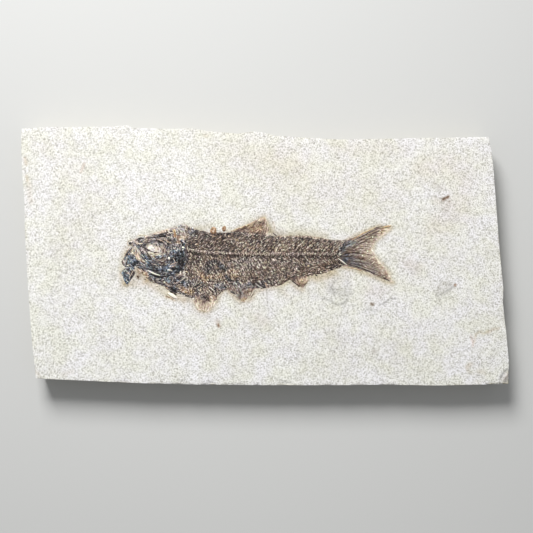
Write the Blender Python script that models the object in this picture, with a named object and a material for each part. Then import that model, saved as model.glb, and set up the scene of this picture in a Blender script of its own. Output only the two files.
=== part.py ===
"""A small split plate of laminated limestone with a herring-like fossil fish lying in it.

The plate is one stone. Its upper face holds a shallow bed, and the fish's bones lie in that bed in the
groups that a preparator names: skull, jaws, gill cover, throat rays, flank, backbone, fins and tail.
The origin is under the middle of the plate, +X runs towards the tail and +Z is up.
Outlines are in millimetres at the plate's real length, and one scale turns them to metres.
"""

import math
import random

import bmesh
import bpy
from mathutils import Vector

# Driving dimensions, in millimetres
PLATE_LENGTH = 196.8
PLATE_THICKNESS = 11.0
BED_DEPTH = 1.0
GAP = 0.3
BONE_CLEARANCE = GAP / 2
FISH_FLOOR = GAP - BED_DEPTH

OUTLINE_LENGTH = 196.8
TO_METRES = 0.001 * PLATE_LENGTH / OUTLINE_LENGTH

# The plate's outline, anticlockwise from the lower left corner. The head end is at -X.
LOWER_EDGE = [(-90.9, -50.2), (-70.9, -50.8), (-51.7, -51.4), (-27.7, -51.7), (5.9, -51.5),
              (29.9, -51.1), (49.1, -50.6), (68.3, -50.7), (87.5, -50.0)]
TAIL_EDGE = [(98.3, -49.6), (98.1, -40.0), (96.8, -28.0), (95.4, -16.8), (95.6, -12.0),
             (93.8, 3.9), (92.4, 19.1), (91.0, 35.1), (89.9, 43.9)]
UPPER_EDGE = [(88.7, 49.1), (66.1, 48.4), (51.7, 47.9), (27.7, 47.2), (13.3, 47.8), (3.7, 48.3),
              (-2.0, 49.6), (-6.0, 49.9), (-11.5, 48.9), (-24.4, 49.9), (-30.0, 50.8),
              (-39.6, 50.4), (-53.6, 50.6), (-56.1, 51.7), (-62.0, 51.0), (-87.6, 50.4)]
HEAD_EDGE = [(-98.0, 49.6), (-98.4, 47.1), (-97.7, 32.3), (-96.6, 20.3), (-96.2, 8.3),
             (-95.1, -7.7), (-93.8, -23.7), (-92.7, -35.6)]

# The bedding planes that show round the sides, as heights from the underside, and how far each layer
# may stand back from the outline
LAYER_TOPS = [2.4, 4.6, 7.4, 9.3, PLATE_THICKNESS]
LAYER_SETBACK = 0.9
UNDERSIDE_SETBACK = 1.3
SIDE_STEP = 7.0

# Flakes broken off the upper edges: centre x, y, then length, width and depth of the scoop
EDGE_FLAKES = [
    (-18.0, -52.4, 22.0, 4.4, 1.5),
    (4.5, -52.2, 15.0, 3.4, 1.9),
    (56.0, -51.6, 17.0, 2.6, 1.4),
    (99.6, -51.2, 12.0, 13.0, 1.7),
    (-56.5, 52.9, 9.0, 2.6, 1.6),
]

# Seams between the bone groups, shared by the outlines on both sides of them
NAPE_SEAM = [(-30.2, 11.2), (-31.0, 8.0), (-31.6, 4.9)]
GILL_REAR_SEAM = [(-31.6, 4.9), (-30.8, 1.5), (-30.7, -2.7), (-32.7, -6.7)]
GILL_TOP_SEAM = [(-31.6, 4.9), (-34.1, 5.0), (-37.3, 4.4), (-40.1, 1.9)]
GILL_FRONT_SEAM = [(-40.1, 1.9), (-41.2, -2.9), (-39.5, -6.8)]
GILL_LOWER_SEAM = [(-39.5, -6.8), (-35.9, -8.8), (-32.7, -6.7)]
SHOULDER_SEAM = [(-32.7, -6.7), (-31.6, -9.5), (-32.0, -12.5), (-33.4, -16.0)]
THROAT_SEAM = [(-39.5, -6.8), (-43.6, -6.6), (-47.6, -5.6), (-50.7, -4.6)]
MUZZLE_SEAM = [(-50.7, -4.6), (-50.8, -1.6), (-51.2, 0.9), (-52.8, 2.9)]
MOUTH_SEAM = [(-56.1, -5.2), (-51.6, -5.0)]
TAIL_SEAM = [(31.0, -3.5), (29.5, 1.1), (32.2, 6.9)]
DORSAL_SEAM = [(0.9, 8.5), (-6.6, 9.2), (-14.2, 9.4)]
PECTORAL_SEAM = [(-28.4, -17.3), (-23.8, -17.0), (-19.0, -15.7)]
PELVIC_SEAM = [(-14.6, -13.2), (-9.6, -13.2), (-4.2, -12.6)]
ANAL_SEAM = [(9.6, -8.8), (13.4, -8.0), (17.2, -7.8)]

# Free edges of the fish
HEAD_TOP = [(-32.4, 12.4), (-35.9, 11.7), (-39.4, 10.3), (-45.8, 8.3), (-51.4, 6.4), (-54.6, 5.2)]
JAW_FRONT = [(-54.4, 2.1), (-55.9, 0.3), (-56.8, -2.2), (-57.4, -3.9)]
CHIN = [(-57.3, -7.6), (-56.5, -9.8), (-54.9, -11.6), (-52.5, -8.9)]
THROAT_EDGE = [(-50.9, -6.4), (-47.7, -8.5), (-43.8, -10.7), (-39.9, -13.2), (-37.2, -15.2)]
BACK_FRONT = [(-17.6, 9.0), (-19.6, 8.5), (-22.6, 8.6), (-24.0, 9.3), (-27.2, 10.3)]
BACK_REAR = [(30.1, 6.8), (26.2, 6.9), (21.4, 8.0), (17.0, 8.5), (12.7, 8.7), (8.4, 8.2), (4.5, 8.1)]
BELLY_FRONT = [(-31.0, -16.7)]
BELLY_MIDDLE = [(-16.2, -13.6)]
BELLY_REAR = [(0.9, -13.2), (5.6, -11.0)]
BELLY_TAIL = [(19.5, -7.4), (22.9, -6.4), (28.0, -4.3)]

BACKBONE_LINE = [(-30.4, 1.9), (-23.2, 1.1), (-14.5, 0.7), (-3.7, 0.6), (8.0, 0.8), (21.5, 1.0),
                 (28.6, 1.1)]
BACKBONE_HALF_WIDTH = 0.6
VERTEBRAE = 35
RIB_SWEEP = 8.5
ORBIT = [(-48.9, 4.3), (-46.9, 5.9), (-44.1, 5.5), (-42.5, 3.5), (-43.6, 1.6), (-46.5, 2.2)]
LOOSE_SCALES = {"loose_scale_front": (-21.0, 10.6, 1.45), "loose_scale_rear": (-16.6, 11.0, 1.1)}

STONE = ("limestone", (0.80, 0.79, 0.74, 1.0), 0.9)
BROWN_BONE = ("brown_bone", (0.16, 0.11, 0.08, 1.0), 0.55)
DARK_BONE = ("blue_black_bone", (0.06, 0.065, 0.075, 1.0), 0.4)
PALE_BONE = ("tan_bone", (0.42, 0.28, 0.15, 1.0), 0.6)


def clear_scene():
    for old in list(bpy.data.objects):
        bpy.data.objects.remove(old, do_unlink=True)


def material_of(finish):
    """The Principled material of a (name, colour, roughness) finish, made once."""
    name, colour, roughness = finish
    material = bpy.data.materials.get(name) or bpy.data.materials.new(name)
    material.use_nodes = True
    shader = material.node_tree.nodes["Principled BSDF"]
    shader.inputs["Base Color"].default_value = colour
    shader.inputs["Roughness"].default_value = roughness
    shader.inputs["Metallic"].default_value = 0.0
    return material


def object_from(bm, name, finish):
    """Turns a bmesh in millimetres, with z from the plate's upper face, into a named object in metres."""
    bmesh.ops.recalc_face_normals(bm, faces=bm.faces)
    bmesh.ops.translate(bm, verts=bm.verts, vec=(0, 0, PLATE_THICKNESS))
    bmesh.ops.scale(bm, verts=bm.verts, vec=(TO_METRES,) * 3)
    mesh = bpy.data.meshes.new(name)
    bm.to_mesh(mesh)
    bm.free()
    mesh.materials.append(material_of(finish))
    made = bpy.data.objects.new(name, mesh)
    bpy.context.scene.collection.objects.link(made)
    return made


def joined(*curves):
    """Curves that follow one another as one run of points, with shared ends kept once."""
    run = []
    for curve in curves:
        for point in curve:
            if not run or math.dist(run[-1], point) > 1e-6:
                run.append(point)
    return run


def loop_of(*curves):
    """Curves that close on themselves as one anticlockwise loop."""
    loop = joined(*curves)
    if math.dist(loop[0], loop[-1]) < 1e-6:
        loop.pop()
    area = sum(a[0] * b[1] - b[0] * a[1] for a, b in zip(loop, loop[1:] + loop[:1]))
    return loop if area > 0 else loop[::-1]


def grown(loop, distance):
    """An anticlockwise loop moved outwards by distance, its corners mitred up to twice that."""
    moved = []
    for before, here, after in zip(loop[-1:] + loop[:-1], loop, loop[1:] + loop[:1]):
        back = Vector((here[0] - before[0], here[1] - before[1])).normalized()
        ahead = Vector((after[0] - here[0], after[1] - here[1])).normalized()
        out = Vector((back.y + ahead.y, -back.x - ahead.x)).normalized()
        share = max(0.5, out.dot(Vector((ahead.y, -ahead.x))))
        moved.append((here[0] + out.x * distance / share, here[1] + out.y * distance / share))
    return moved


def at(curve, share):
    """The point that lies this share of the way along an open curve."""
    spans = [math.dist(a, b) for a, b in zip(curve, curve[1:])]
    left = share * sum(spans)
    for (a, b), span in zip(zip(curve, curve[1:]), spans):
        if left <= span:
            return Vector(a).lerp(Vector(b), left / span)
        left -= span
    return Vector(curve[-1])


def patch(base, tip, front, rear):
    """A point function (u, v) over the area that four curves bound: base and tip at v 0 and 1, front
    and rear at u 0 and 1."""
    corners = (Vector(base[0]), Vector(base[-1]), Vector(tip[0]), Vector(tip[-1]))

    def point(u, v):
        straight = at(base, u) * (1 - v) + at(tip, u) * v + at(front, v) * (1 - u) + at(rear, v) * u
        doubled = (corners[0] * (1 - u) + corners[1] * u) * (1 - v)
        return straight - doubled - (corners[2] * (1 - u) + corners[3] * u) * v

    return point


def shares(count):
    return [i / count for i in range(count + 1)]


def relief_sheet(name, columns, rows, surface, finish, floor=FISH_FLOOR):
    """A closed solid with a flat floor, whose upper face is surface(column, row) at these values."""
    bm = bmesh.new()
    bmesh.ops.create_grid(bm, x_segments=len(columns) - 1, y_segments=len(rows) - 1, size=1.0)
    for vertex in bm.verts:
        column = columns[round((vertex.co.x + 1) / 2 * (len(columns) - 1))]
        row = rows[round((vertex.co.y + 1) / 2 * (len(rows) - 1))]
        vertex.co = surface(column, row)
    lowered = bmesh.ops.extrude_face_region(bm, geom=bm.faces[:])["geom"]
    for vertex in lowered:
        if isinstance(vertex, bmesh.types.BMVert):
            vertex.co.z = floor
    under = [face for face in lowered if isinstance(face, bmesh.types.BMFace)]
    bmesh.ops.dissolve_faces(bm, faces=under)
    return object_from(bm, name, finish)


def prism(loop, low, high):
    """An upright solid over a loop, as a bmesh, and its upper face."""
    bm = bmesh.new()
    base = bm.faces.new([bm.verts.new((x, y, low)) for x, y in loop])
    lifted = bmesh.ops.extrude_face_region(bm, geom=[base])["geom"]
    upper = next(face for face in lifted if isinstance(face, bmesh.types.BMFace))
    bmesh.ops.translate(bm, verts=upper.verts, vec=(0, 0, high - low))
    return bm, upper


def bone_plate(name, loop, crown, finish, edge=0.12, shoulder=0.5):
    """A thin bone with an upright rim and a crown that rises over two insets."""
    bm, upper = prism(grown(loop, -BONE_CLEARANCE), FISH_FLOOR, edge)
    for share in (0.7, 0.3):
        bmesh.ops.inset_region(bm, faces=[upper], thickness=shoulder, depth=(crown - edge) * share)
    return object_from(bm, name, finish)


def hide_cutter(cutter):
    cutter.hide_render = True
    cutter.display_type = "WIRE"


def plate_side_loop(setback, seed):
    """The plate's outline with a point every few millimetres, each set back by up to setback."""
    outline = loop_of(LOWER_EDGE, TAIL_EDGE, UPPER_EDGE, HEAD_EDGE)
    steps = []
    for a, b in zip(outline, outline[1:] + outline[:1]):
        count = max(1, round(math.dist(a, b) / SIDE_STEP))
        steps += [tuple(Vector(a).lerp(Vector(b), i / count)) for i in range(count)]
    chance = random.Random(seed)
    moved = grown(steps, -1.0)
    worn = []
    for here, inner in zip(steps, moved):
        back = setback * chance.random() ** 2
        worn.append((here[0] + (inner[0] - here[0]) * back, here[1] + (inner[1] - here[1]) * back))
    return worn


def build_plate():
    """The stone, as layers that stand back a little from one another round the sides."""
    bm = bmesh.new()
    low = -PLATE_THICKNESS
    loop = plate_side_loop(UNDERSIDE_SETBACK, seed=1)
    base = bm.faces.new([bm.verts.new((x, y, low)) for x, y in loop])
    upper = base
    for number, top in enumerate(LAYER_TOPS):
        is_last = number == len(LAYER_TOPS) - 1
        setback = 0.25 if is_last else LAYER_SETBACK
        layer = plate_side_loop(setback, seed=number + 2)
        for height in (low + 0.12, top - PLATE_THICKNESS):
            lifted = bmesh.ops.extrude_face_region(bm, geom=[upper])["geom"]
            if upper is not base:
                bmesh.ops.delete(bm, geom=[upper], context="FACES_ONLY")
            upper = next(face for face in lifted if isinstance(face, bmesh.types.BMFace))
            for vertex, (x, y) in zip(upper.verts, layer):
                vertex.co = (x, y, height)
        low = top - PLATE_THICKNESS
    plate = object_from(bm, "limestone_slab", STONE)
    for number, flake in enumerate(EDGE_FLAKES):
        cut(plate, flake_cutter(number, *flake))
    return plate


def flake_cutter(number, x, y, length, width, depth):
    """The hollow that a flake leaves: a flattened ball with its middle on the upper edge."""
    bm = bmesh.new()
    bmesh.ops.create_icosphere(bm, subdivisions=2, radius=1.0)
    bmesh.ops.scale(bm, verts=bm.verts, vec=(length / 2, width / 2, depth))
    bmesh.ops.translate(bm, verts=bm.verts, vec=(x, y, 0))
    return object_from(bm, f"flake_cutter_{number}", STONE)


def cut(solid, cutter):
    hide_cutter(cutter)
    boolean = solid.modifiers.new(cutter.name, "BOOLEAN")
    boolean.operation = "DIFFERENCE"
    boolean.solver = "EXACT"
    boolean.object = cutter


def cut_bed(plate, name, loop):
    """Sinks the plate's bed under one bone group, with the gap all round it."""
    bm, _ = prism(grown(loop, BONE_CLEARANCE), -BED_DEPTH, 2.0)
    cut(plate, object_from(bm, f"bed_cutter_{name}", STONE))


SKULL_LOOP = loop_of(NAPE_SEAM, GILL_TOP_SEAM, GILL_FRONT_SEAM, THROAT_SEAM, MUZZLE_SEAM,
                     HEAD_TOP[::-1])
GILL_COVER_LOOP = loop_of(GILL_TOP_SEAM, GILL_FRONT_SEAM, GILL_LOWER_SEAM, GILL_REAR_SEAM[::-1])
UPPER_JAW_LOOP = loop_of(MUZZLE_SEAM, JAW_FRONT, MOUTH_SEAM)
LOWER_JAW_LOOP = loop_of(MOUTH_SEAM[::-1], CHIN)
THROAT_LOOP = loop_of(THROAT_SEAM[::-1], GILL_LOWER_SEAM, SHOULDER_SEAM, THROAT_EDGE[::-1])
BODY_TOP = joined(NAPE_SEAM[:1], BACK_FRONT[::-1], DORSAL_SEAM[::-1], BACK_REAR[::-1], TAIL_SEAM[2:])
BODY_BELLY = joined(SHOULDER_SEAM[-1:], BELLY_FRONT, PECTORAL_SEAM, BELLY_MIDDLE, PELVIC_SEAM,
                    BELLY_REAR, ANAL_SEAM, BELLY_TAIL, TAIL_SEAM[:1])
BODY_FRONT = joined(NAPE_SEAM, GILL_REAR_SEAM, SHOULDER_SEAM)
FLANK_LOOP = loop_of(BODY_TOP[::-1], BODY_FRONT, BODY_BELLY, TAIL_SEAM)

DORSAL_FIN = (DORSAL_SEAM[::-1], [(-2.4, 15.6), (-0.1, 16.3), (0.6, 12.6)],
              [DORSAL_SEAM[-1], (-10.3, 11.4), (-6.0, 13.4), (-2.4, 15.6)],
              [DORSAL_SEAM[0], (0.6, 12.6)])
TAIL_FIN = (TAIL_SEAM, [(51.8, -9.9), (49.3, -5.6), (47.1, -2.6), (44.5, 0.4), (42.9, 3.6),
                        (43.5, 6.0), (45.2, 7.8), (48.7, 10.0), (50.8, 12.9)],
            [TAIL_SEAM[0], (34.6, -3.7), (38.9, -4.9), (43.7, -7.0), (48.1, -8.7), (51.8, -9.9)],
            [TAIL_SEAM[-1], (36.5, 8.6), (40.9, 10.8), (46.0, 13.1), (50.8, 12.9)])
PECTORAL_FIN = (PECTORAL_SEAM, [(-26.8, -20.3), (-22.6, -21.5), (-20.4, -18.9)],
                [PECTORAL_SEAM[0], (-26.8, -20.3)], [PECTORAL_SEAM[-1], (-20.4, -18.9)])
PELVIC_FIN = (PELVIC_SEAM, [(-10.6, -16.9), (-8.1, -18.7), (-6.4, -16.9)],
              [PELVIC_SEAM[0], (-13.2, -15.0), (-10.6, -16.9)],
              [PELVIC_SEAM[-1], (-6.4, -16.9)])
ANAL_FIN = (ANAL_SEAM, [(13.3, -11.9), (15.9, -12.3), (16.9, -9.8)],
            [ANAL_SEAM[0], (10.9, -10.2), (13.3, -11.9)], [ANAL_SEAM[-1], (16.9, -9.8)])
FINS = {
    "dorsal_fin": (DORSAL_FIN, 11, 4, 0.32, BROWN_BONE),
    "tail_fin": (TAIL_FIN, 19, 6, 0.38, BROWN_BONE),
    "pectoral_fin": (PECTORAL_FIN, 7, 3, 0.30, PALE_BONE),
    "pelvic_fin": (PELVIC_FIN, 7, 3, 0.30, BROWN_BONE),
    "anal_fin": (ANAL_FIN, 7, 3, 0.26, BROWN_BONE),
}


def fin_loop(curves):
    base, tip, front, rear = curves
    return loop_of(base, rear, tip[::-1], front[::-1])


def inset_curves(curves, distance):
    """Four bounding curves moved inwards together, so that the fin keeps clear of its neighbours."""
    base, tip, front, rear = curves
    loop = loop_of(base, rear, tip[::-1], front[::-1])
    inner = dict(zip(loop, grown(loop, -distance)))
    return [[inner[point] for point in curve] for curve in curves]


def build_fin(name, curves, rays, steps, crown, finish):
    """A fan of rays, pleated like a folded sheet: each ray is a ridge between two furrows."""
    point = patch(*inset_curves(curves, BONE_CLEARANCE))

    def surface(column, row):
        x, y = point(column / (2 * rays), row)
        ridge = 0.09 if column % 2 else 0.0
        return x, y, 0.06 + (crown - 0.15) * (1 - 0.7 * row) + ridge

    return relief_sheet(name, list(range(2 * rays + 1)), shares(steps), surface, finish)


def backbone_y(x):
    """The height of the backbone's line over this x."""
    for a, b in zip(BACKBONE_LINE, BACKBONE_LINE[1:]):
        if x <= b[0]:
            return a[1] + (b[1] - a[1]) * (x - a[0]) / (b[0] - a[0])
    return BACKBONE_LINE[-1][1]


def rib_lean(u):
    """How far a rib's or spine's tip sweeps back, which dies out at both ends of the flank."""
    return RIB_SWEEP * min(1.0, u / 0.12) * min(1.0, (1 - u) / 0.2)


def build_flank():
    """The scale-covered flank: slanted ribs and spines above and below a groove for the backbone."""
    inner = dict(zip(FLANK_LOOP, grown(FLANK_LOOP, -BONE_CLEARANCE)))
    top, belly = ([inner[p] for p in curve] for curve in (BODY_TOP, BODY_BELLY))
    middle = len(NAPE_SEAM) + 1
    front_line = [inner[p] for p in BODY_FRONT]
    front_middle = (front_line[middle - 1][0], BACKBONE_LINE[0][1])
    rear_middle = inner[TAIL_SEAM[1]]
    spine = joined([front_middle], BACKBONE_LINE[1:-1], [rear_middle])
    back = patch(spine, top, [front_middle, *front_line[:middle - 1][::-1]],
                 [rear_middle, inner[TAIL_SEAM[2]]])
    below = patch(spine, belly, [front_middle, *front_line[middle:]],
                  [rear_middle, inner[TAIL_SEAM[0]]])
    half_groove = BACKBONE_HALF_WIDTH + GAP
    far_rows = [0.24, 0.42, 0.60, 0.80, 1.0]

    def surface(column, row):
        u = column / (2 * VERTEBRAE)
        side, kind, share = row
        if kind == "groove":
            lean = rib_lean(u) * 0.1
            line = at(spine, u)
            x = line.x + lean
            z = -0.35 if share < half_groove else 0.3
            return x, backbone_y(x) + side * share, z
        swept = u + rib_lean(u) * share / (TAIL_SEAM[1][0] - NAPE_SEAM[0][0])
        x, y = (back if side > 0 else below)(swept, share)
        ridge = 0.11 if column % 2 else 0.0
        return x, y, 0.08 + 0.28 * (1 - share ** 2) + ridge

    rows = [(-1, "flesh", share) for share in far_rows[::-1]]
    rows += [(-1, "groove", half_groove), (-1, "groove", half_groove - 0.02)]
    rows += [(1, "groove", half_groove - 0.02), (1, "groove", half_groove)]
    rows += [(1, "flesh", share) for share in far_rows]
    return relief_sheet("flank", list(range(2 * VERTEBRAE + 1)), rows, surface, BROWN_BONE)


def build_backbone():
    """A row of waisted vertebrae, half sunk in the flank."""
    def surface(column, row):
        u = column / (2 * VERTEBRAE)
        x, y = at(BACKBONE_LINE, u)
        waist = 0.72 if column % 2 else 1.0
        across = 2 * row - 1
        height = 0.2 + 0.5 * waist * math.sqrt(max(0.0, 1 - across ** 2))
        return x, y + across * BACKBONE_HALF_WIDTH * waist, height

    rise = [0.5 - 0.5 * math.cos(math.pi * share) for share in shares(6)]
    columns = list(range(2 * VERTEBRAE + 1))
    return relief_sheet("backbone", columns, rise, surface, PALE_BONE, floor=-0.02)


def build_throat():
    """The slender rays under the gill cover, as long ridges from the jaw joint to the shoulder."""
    inner = dict(zip(THROAT_LOOP, grown(THROAT_LOOP, -BONE_CLEARANCE)))
    upper = joined(THROAT_SEAM[::-1], GILL_LOWER_SEAM)
    curves = ([*THROAT_EDGE, SHOULDER_SEAM[-1]], upper, [THROAT_EDGE[0], upper[0]],
              SHOULDER_SEAM[::-1])
    point = patch(*[[inner[p] for p in curve] for curve in curves])
    rays = 5

    def surface(column, row):
        x, y = point(column, row / (2 * rays))
        return x, y, 0.12 + (0.16 if row % 2 else 0.0) + 0.08 * math.sin(math.pi * column)

    return relief_sheet("throat_rays", shares(10), list(range(2 * rays + 1)), surface, DARK_BONE)


def build_skull():
    """The roof, snout and cheek as one crowned plate with the eye socket sunk in it."""
    skull = bone_plate("skull", SKULL_LOOP, 0.62, BROWN_BONE, shoulder=0.6)
    bm, _ = prism(loop_of(ORBIT), -0.25, 2.0)
    cut(skull, object_from(bm, "orbit_cutter", STONE))
    return skull


def build_loose_scale(name, x, y, radius):
    """A single shed scale: a low dome."""
    turns = 12
    loop = [(x + radius * math.cos(math.tau * i / turns), y + radius * math.sin(math.tau * i / turns))
            for i in range(turns)]
    bone_plate(name, loop, 0.3, PALE_BONE, edge=0.1, shoulder=radius / 3)
    return loop


def main():
    clear_scene()
    plate = build_plate()
    build_skull()
    bone_plate("gill_cover", GILL_COVER_LOOP, 0.7, DARK_BONE, shoulder=0.9)
    bone_plate("upper_jaw", UPPER_JAW_LOOP, 0.5, DARK_BONE)
    bone_plate("lower_jaw", LOWER_JAW_LOOP, 0.45, DARK_BONE)
    build_throat()
    build_flank()
    build_backbone()
    beds = {"skull": SKULL_LOOP, "gill_cover": GILL_COVER_LOOP, "upper_jaw": UPPER_JAW_LOOP,
            "lower_jaw": LOWER_JAW_LOOP, "throat": THROAT_LOOP, "flank": FLANK_LOOP}
    for name, (curves, *form) in FINS.items():
        build_fin(name, curves, *form)
        beds[name] = fin_loop(curves)
    for name, place in LOOSE_SCALES.items():
        beds[name] = build_loose_scale(name, *place)
    for name, loop in beds.items():
        cut_bed(plate, name, loop)


main()
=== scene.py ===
import math

import bmesh
import bpy
import numpy as np
from bpy.props import FloatProperty, FloatVectorProperty, IntProperty, PointerProperty
from mathutils import Matrix, Vector


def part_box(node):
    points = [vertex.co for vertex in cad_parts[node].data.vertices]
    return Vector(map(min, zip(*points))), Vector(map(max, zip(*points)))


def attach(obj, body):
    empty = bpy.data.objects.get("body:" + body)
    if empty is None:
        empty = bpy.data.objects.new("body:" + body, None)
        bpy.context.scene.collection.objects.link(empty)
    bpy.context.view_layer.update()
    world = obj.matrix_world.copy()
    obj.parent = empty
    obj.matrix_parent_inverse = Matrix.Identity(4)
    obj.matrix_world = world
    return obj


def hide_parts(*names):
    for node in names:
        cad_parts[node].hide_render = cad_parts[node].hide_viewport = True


bl_info = {
    "name": "Fossil Fish Plate",
    "version": (1, 0, 0),
    "blender": (4, 5, 0),
    "location": "3D View > Sidebar > Fossil",
    "description": "Builds the stone, the bones and the studio of a small fossil fish plate",
    "category": "Object",
}

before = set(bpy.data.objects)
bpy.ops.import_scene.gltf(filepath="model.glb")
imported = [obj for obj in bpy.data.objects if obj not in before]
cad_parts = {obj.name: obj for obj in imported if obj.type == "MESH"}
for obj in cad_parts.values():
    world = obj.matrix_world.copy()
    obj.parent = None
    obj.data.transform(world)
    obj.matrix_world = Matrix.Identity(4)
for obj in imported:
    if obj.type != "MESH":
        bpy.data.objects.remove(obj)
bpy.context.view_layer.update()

# Shapes are worked out in millimetres, with z from the plate's upper face, and turned to metres at the end
MM = 0.001
PLATE_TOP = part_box("limestone_slab")[1].z / MM

# ---- The plate's outline and the fins' curves, as the frame has them

LOWER_EDGE = [(-90.9, -50.2), (-70.9, -50.8), (-51.7, -51.4), (-27.7, -51.7), (5.9, -51.5),
              (29.9, -51.1), (49.1, -50.6), (68.3, -50.7), (87.5, -50.0), (98.3, -49.6)]
TAIL_EDGE = [(98.3, -49.6), (98.1, -40.0), (96.8, -28.0), (95.4, -16.8), (95.6, -12.0),
             (93.8, 3.9), (92.4, 19.1), (91.0, 35.1), (89.9, 43.9), (88.7, 49.1)]
UPPER_EDGE = [(-98.0, 49.6), (-87.6, 50.4), (-62.0, 51.0), (-56.1, 51.7), (-53.6, 50.6),
              (-39.6, 50.4), (-30.0, 50.8), (-24.4, 49.9), (-11.5, 48.9), (-6.0, 49.9),
              (-2.0, 49.6), (3.7, 48.3), (13.3, 47.8), (27.7, 47.2), (51.7, 47.9), (66.1, 48.4),
              (88.7, 49.1)]
HEAD_EDGE = [(-90.9, -50.2), (-92.7, -35.6), (-93.8, -23.7), (-95.1, -7.7), (-96.2, 8.3),
             (-96.6, 20.3), (-97.7, 32.3), (-98.4, 47.1), (-98.0, 49.6)]
EDGE_FLAKES = [(99.5, -51.2, 10.4, 15.6, 0.8), (92.3, -50.9, 8.0, 3.6, 0.3),
               (8.4, -51.9, 8.8, 4.0, 0.3), (-10.8, -52.4, 9.6, 3.2, 0.25),
               (-20.4, -52.4, 4.4, 4.0, 0.4), (-23.8, -52.6, 2.8, 2.8, 0.6),
               (-33.2, -52.8, 8.8, 4.8, 0.3)]
UNDERSIDE_SETBACK = 1.3
FACE_SPAN = (194, 101)
BED_FLOOR = 0.9
FLAKE_TERRACES = (1.0, 0.68, 0.5)
DEEPEST_BREAK = 2.4
DEEPEST_FLAKE = 2.0

FINS = {
    "dorsal_fin": {
        "base": [(-14.4, 9.6), (-7.0, 9.4), (1.3, 8.6)],
        "tip": [(-3.6, 14.4), (-1.9, 15.7), (-0.1, 15.8), (1.2, 13.8)],
        "front": [(-14.4, 9.6), (-11.0, 10.9), (-7.4, 12.6), (-3.6, 14.4)],
        "rear": [(1.3, 8.6), (1.6, 11.2), (1.2, 13.8)],
    },
    "tail_fin": {
        "base": [(31.0, -3.5), (29.5, 1.1), (32.2, 6.9)],
        "tip": [(51.8, -9.9), (49.3, -5.6), (47.1, -2.6), (44.5, 0.4), (42.9, 3.6), (43.5, 6.0),
                (45.2, 7.8), (48.7, 10.0), (50.8, 12.9)],
        "front": [(31.0, -3.5), (34.6, -3.7), (38.9, -4.9), (43.7, -7.0), (48.1, -8.7), (51.8, -9.9)],
        "rear": [(32.2, 6.9), (36.5, 8.6), (40.9, 10.8), (46.0, 13.1), (50.8, 12.9)],
    },
    "pectoral_fin": {
        "base": [(-28.8, -16.1), (-24.2, -15.6), (-18.2, -14.3)],
        "tip": [(-27.1, -21.3), (-23.5, -22.6), (-20.2, -21.0)],
        "front": [(-28.8, -16.1), (-28.3, -18.7), (-27.1, -21.3)],
        "rear": [(-18.2, -14.3), (-18.8, -17.7), (-20.2, -21.0)],
    },
    "pelvic_fin": {
        "base": [(-15.6, -12.3), (-9.8, -12.0), (-2.4, -12.3)],
        "tip": [(-10.2, -17.4), (-8.3, -19.2), (-6.2, -17.8)],
        "front": [(-15.6, -12.3), (-13.4, -14.8), (-10.2, -17.4)],
        "rear": [(-2.4, -12.3), (-4.0, -14.9), (-6.2, -17.8)],
    },
    "anal_fin": {
        "base": [(9.4, -8.0), (13.3, -7.5), (18.1, -7.2)],
        "tip": [(13.6, -11.8), (15.0, -12.8), (16.4, -11.2)],
        "front": [(9.4, -8.0), (11.5, -10.1), (13.6, -11.8)],
        "rear": [(18.1, -7.2), (17.6, -9.2), (16.4, -11.2)],
    },
}
BACKBONE_LINE = [(-30.4, 1.9), (-23.2, 1.1), (-14.5, 0.7), (-3.7, 0.6), (8.0, 0.8), (21.5, 1.0),
                 (28.6, 1.1)]
VERTEBRAE = 35
VERTEBRA_PITCH = (BACKBONE_LINE[-1][0] - BACKBONE_LINE[0][0]) / VERTEBRAE
EYE = (-45.2, 3.2)
# Where the ragged film runs past the frame's outline or stops short of it: x, y, reach, dx, dy
EDGE_SHIFTS = [(-45.5, -9.9, 4.8, 0, -1.2), (-21.0, 8.8, 6.0, 0, 0.72), (7.3, -9.4, 5.2, 0, -1.2),
               (25.3, -5.1, 6.0, 0, -0.72), (30.4, -3.0, 3.2, 0, -0.56), (-6.2, 13.7, 5.2, 0.4, -0.64),
               (-23.7, -20.6, 4.4, 0, -1.44), (-19.0, -17.7, 3.6, 0.8, -0.6),
               (-28.5, -19.1, 3.2, -0.6, -0.2), (-14.6, -13.7, 2.8, -0.64, -0.48),
               (14.2, -12.5, 3.6, 0, -0.48), (-3.8, -14.3, 2.8, 0.4, -0.2), (1.2, 12.2, 3.2, 0.6, 0),
               (-17.0, -13.7, 2.8, 0.2, -0.4), (-54.9, -11.0, 2.6, 0, -0.9),
               (-56.9, -7.3, 2.6, -0.4, 0)]
# Middle x, y and half width and height
LOOSE_SCALES = {"loose_scale_front": (-20.8, 9.9, 1.3, 1.6), "loose_scale_rear": (-16.5, 10.7, 0.8, 1.25)}

# How each bone swells over the common film, and how it departs from the film's tone, blue and tan
BONE_FORMS = {
    "skull": (0.1, -0.02, 0.15, -0.02),
    "gill_cover": (0.1, -0.02, 0.25, -0.03),
    "upper_jaw": (0.1, -0.04, 0.35, -0.05),
    "lower_jaw": (0.1, -0.02, 0.45, -0.1),
    "throat_rays": (0.05, 0.0, 0.15, 0.0),
    "flank": (0.0, 0.0, 0.0, 0.0),
}
# Each fin's rays, how it departs from the film's tone, blue and tan, and how it pales towards its tip:
# by how much, and from which share of its reach
FIN_FORMS = {
    "dorsal_fin": (15, 0.165, -0.05, 0.06, 0.18, 0.25),
    "tail_fin": (30, 0.1, 0.1, 0.01, 0.2, 0.6),
    "pectoral_fin": (10, 0.12, -0.02, -0.04, 0.34, 0.2),
    "pelvic_fin": (9, 0.14, 0.1, -0.02, 0.12, 0.5),
    "anal_fin": (10, 0.1, 0.05, 0.0, 0.22, 0.45),
}
BONES = [*BONE_FORMS, *FIN_FORMS]

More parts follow.
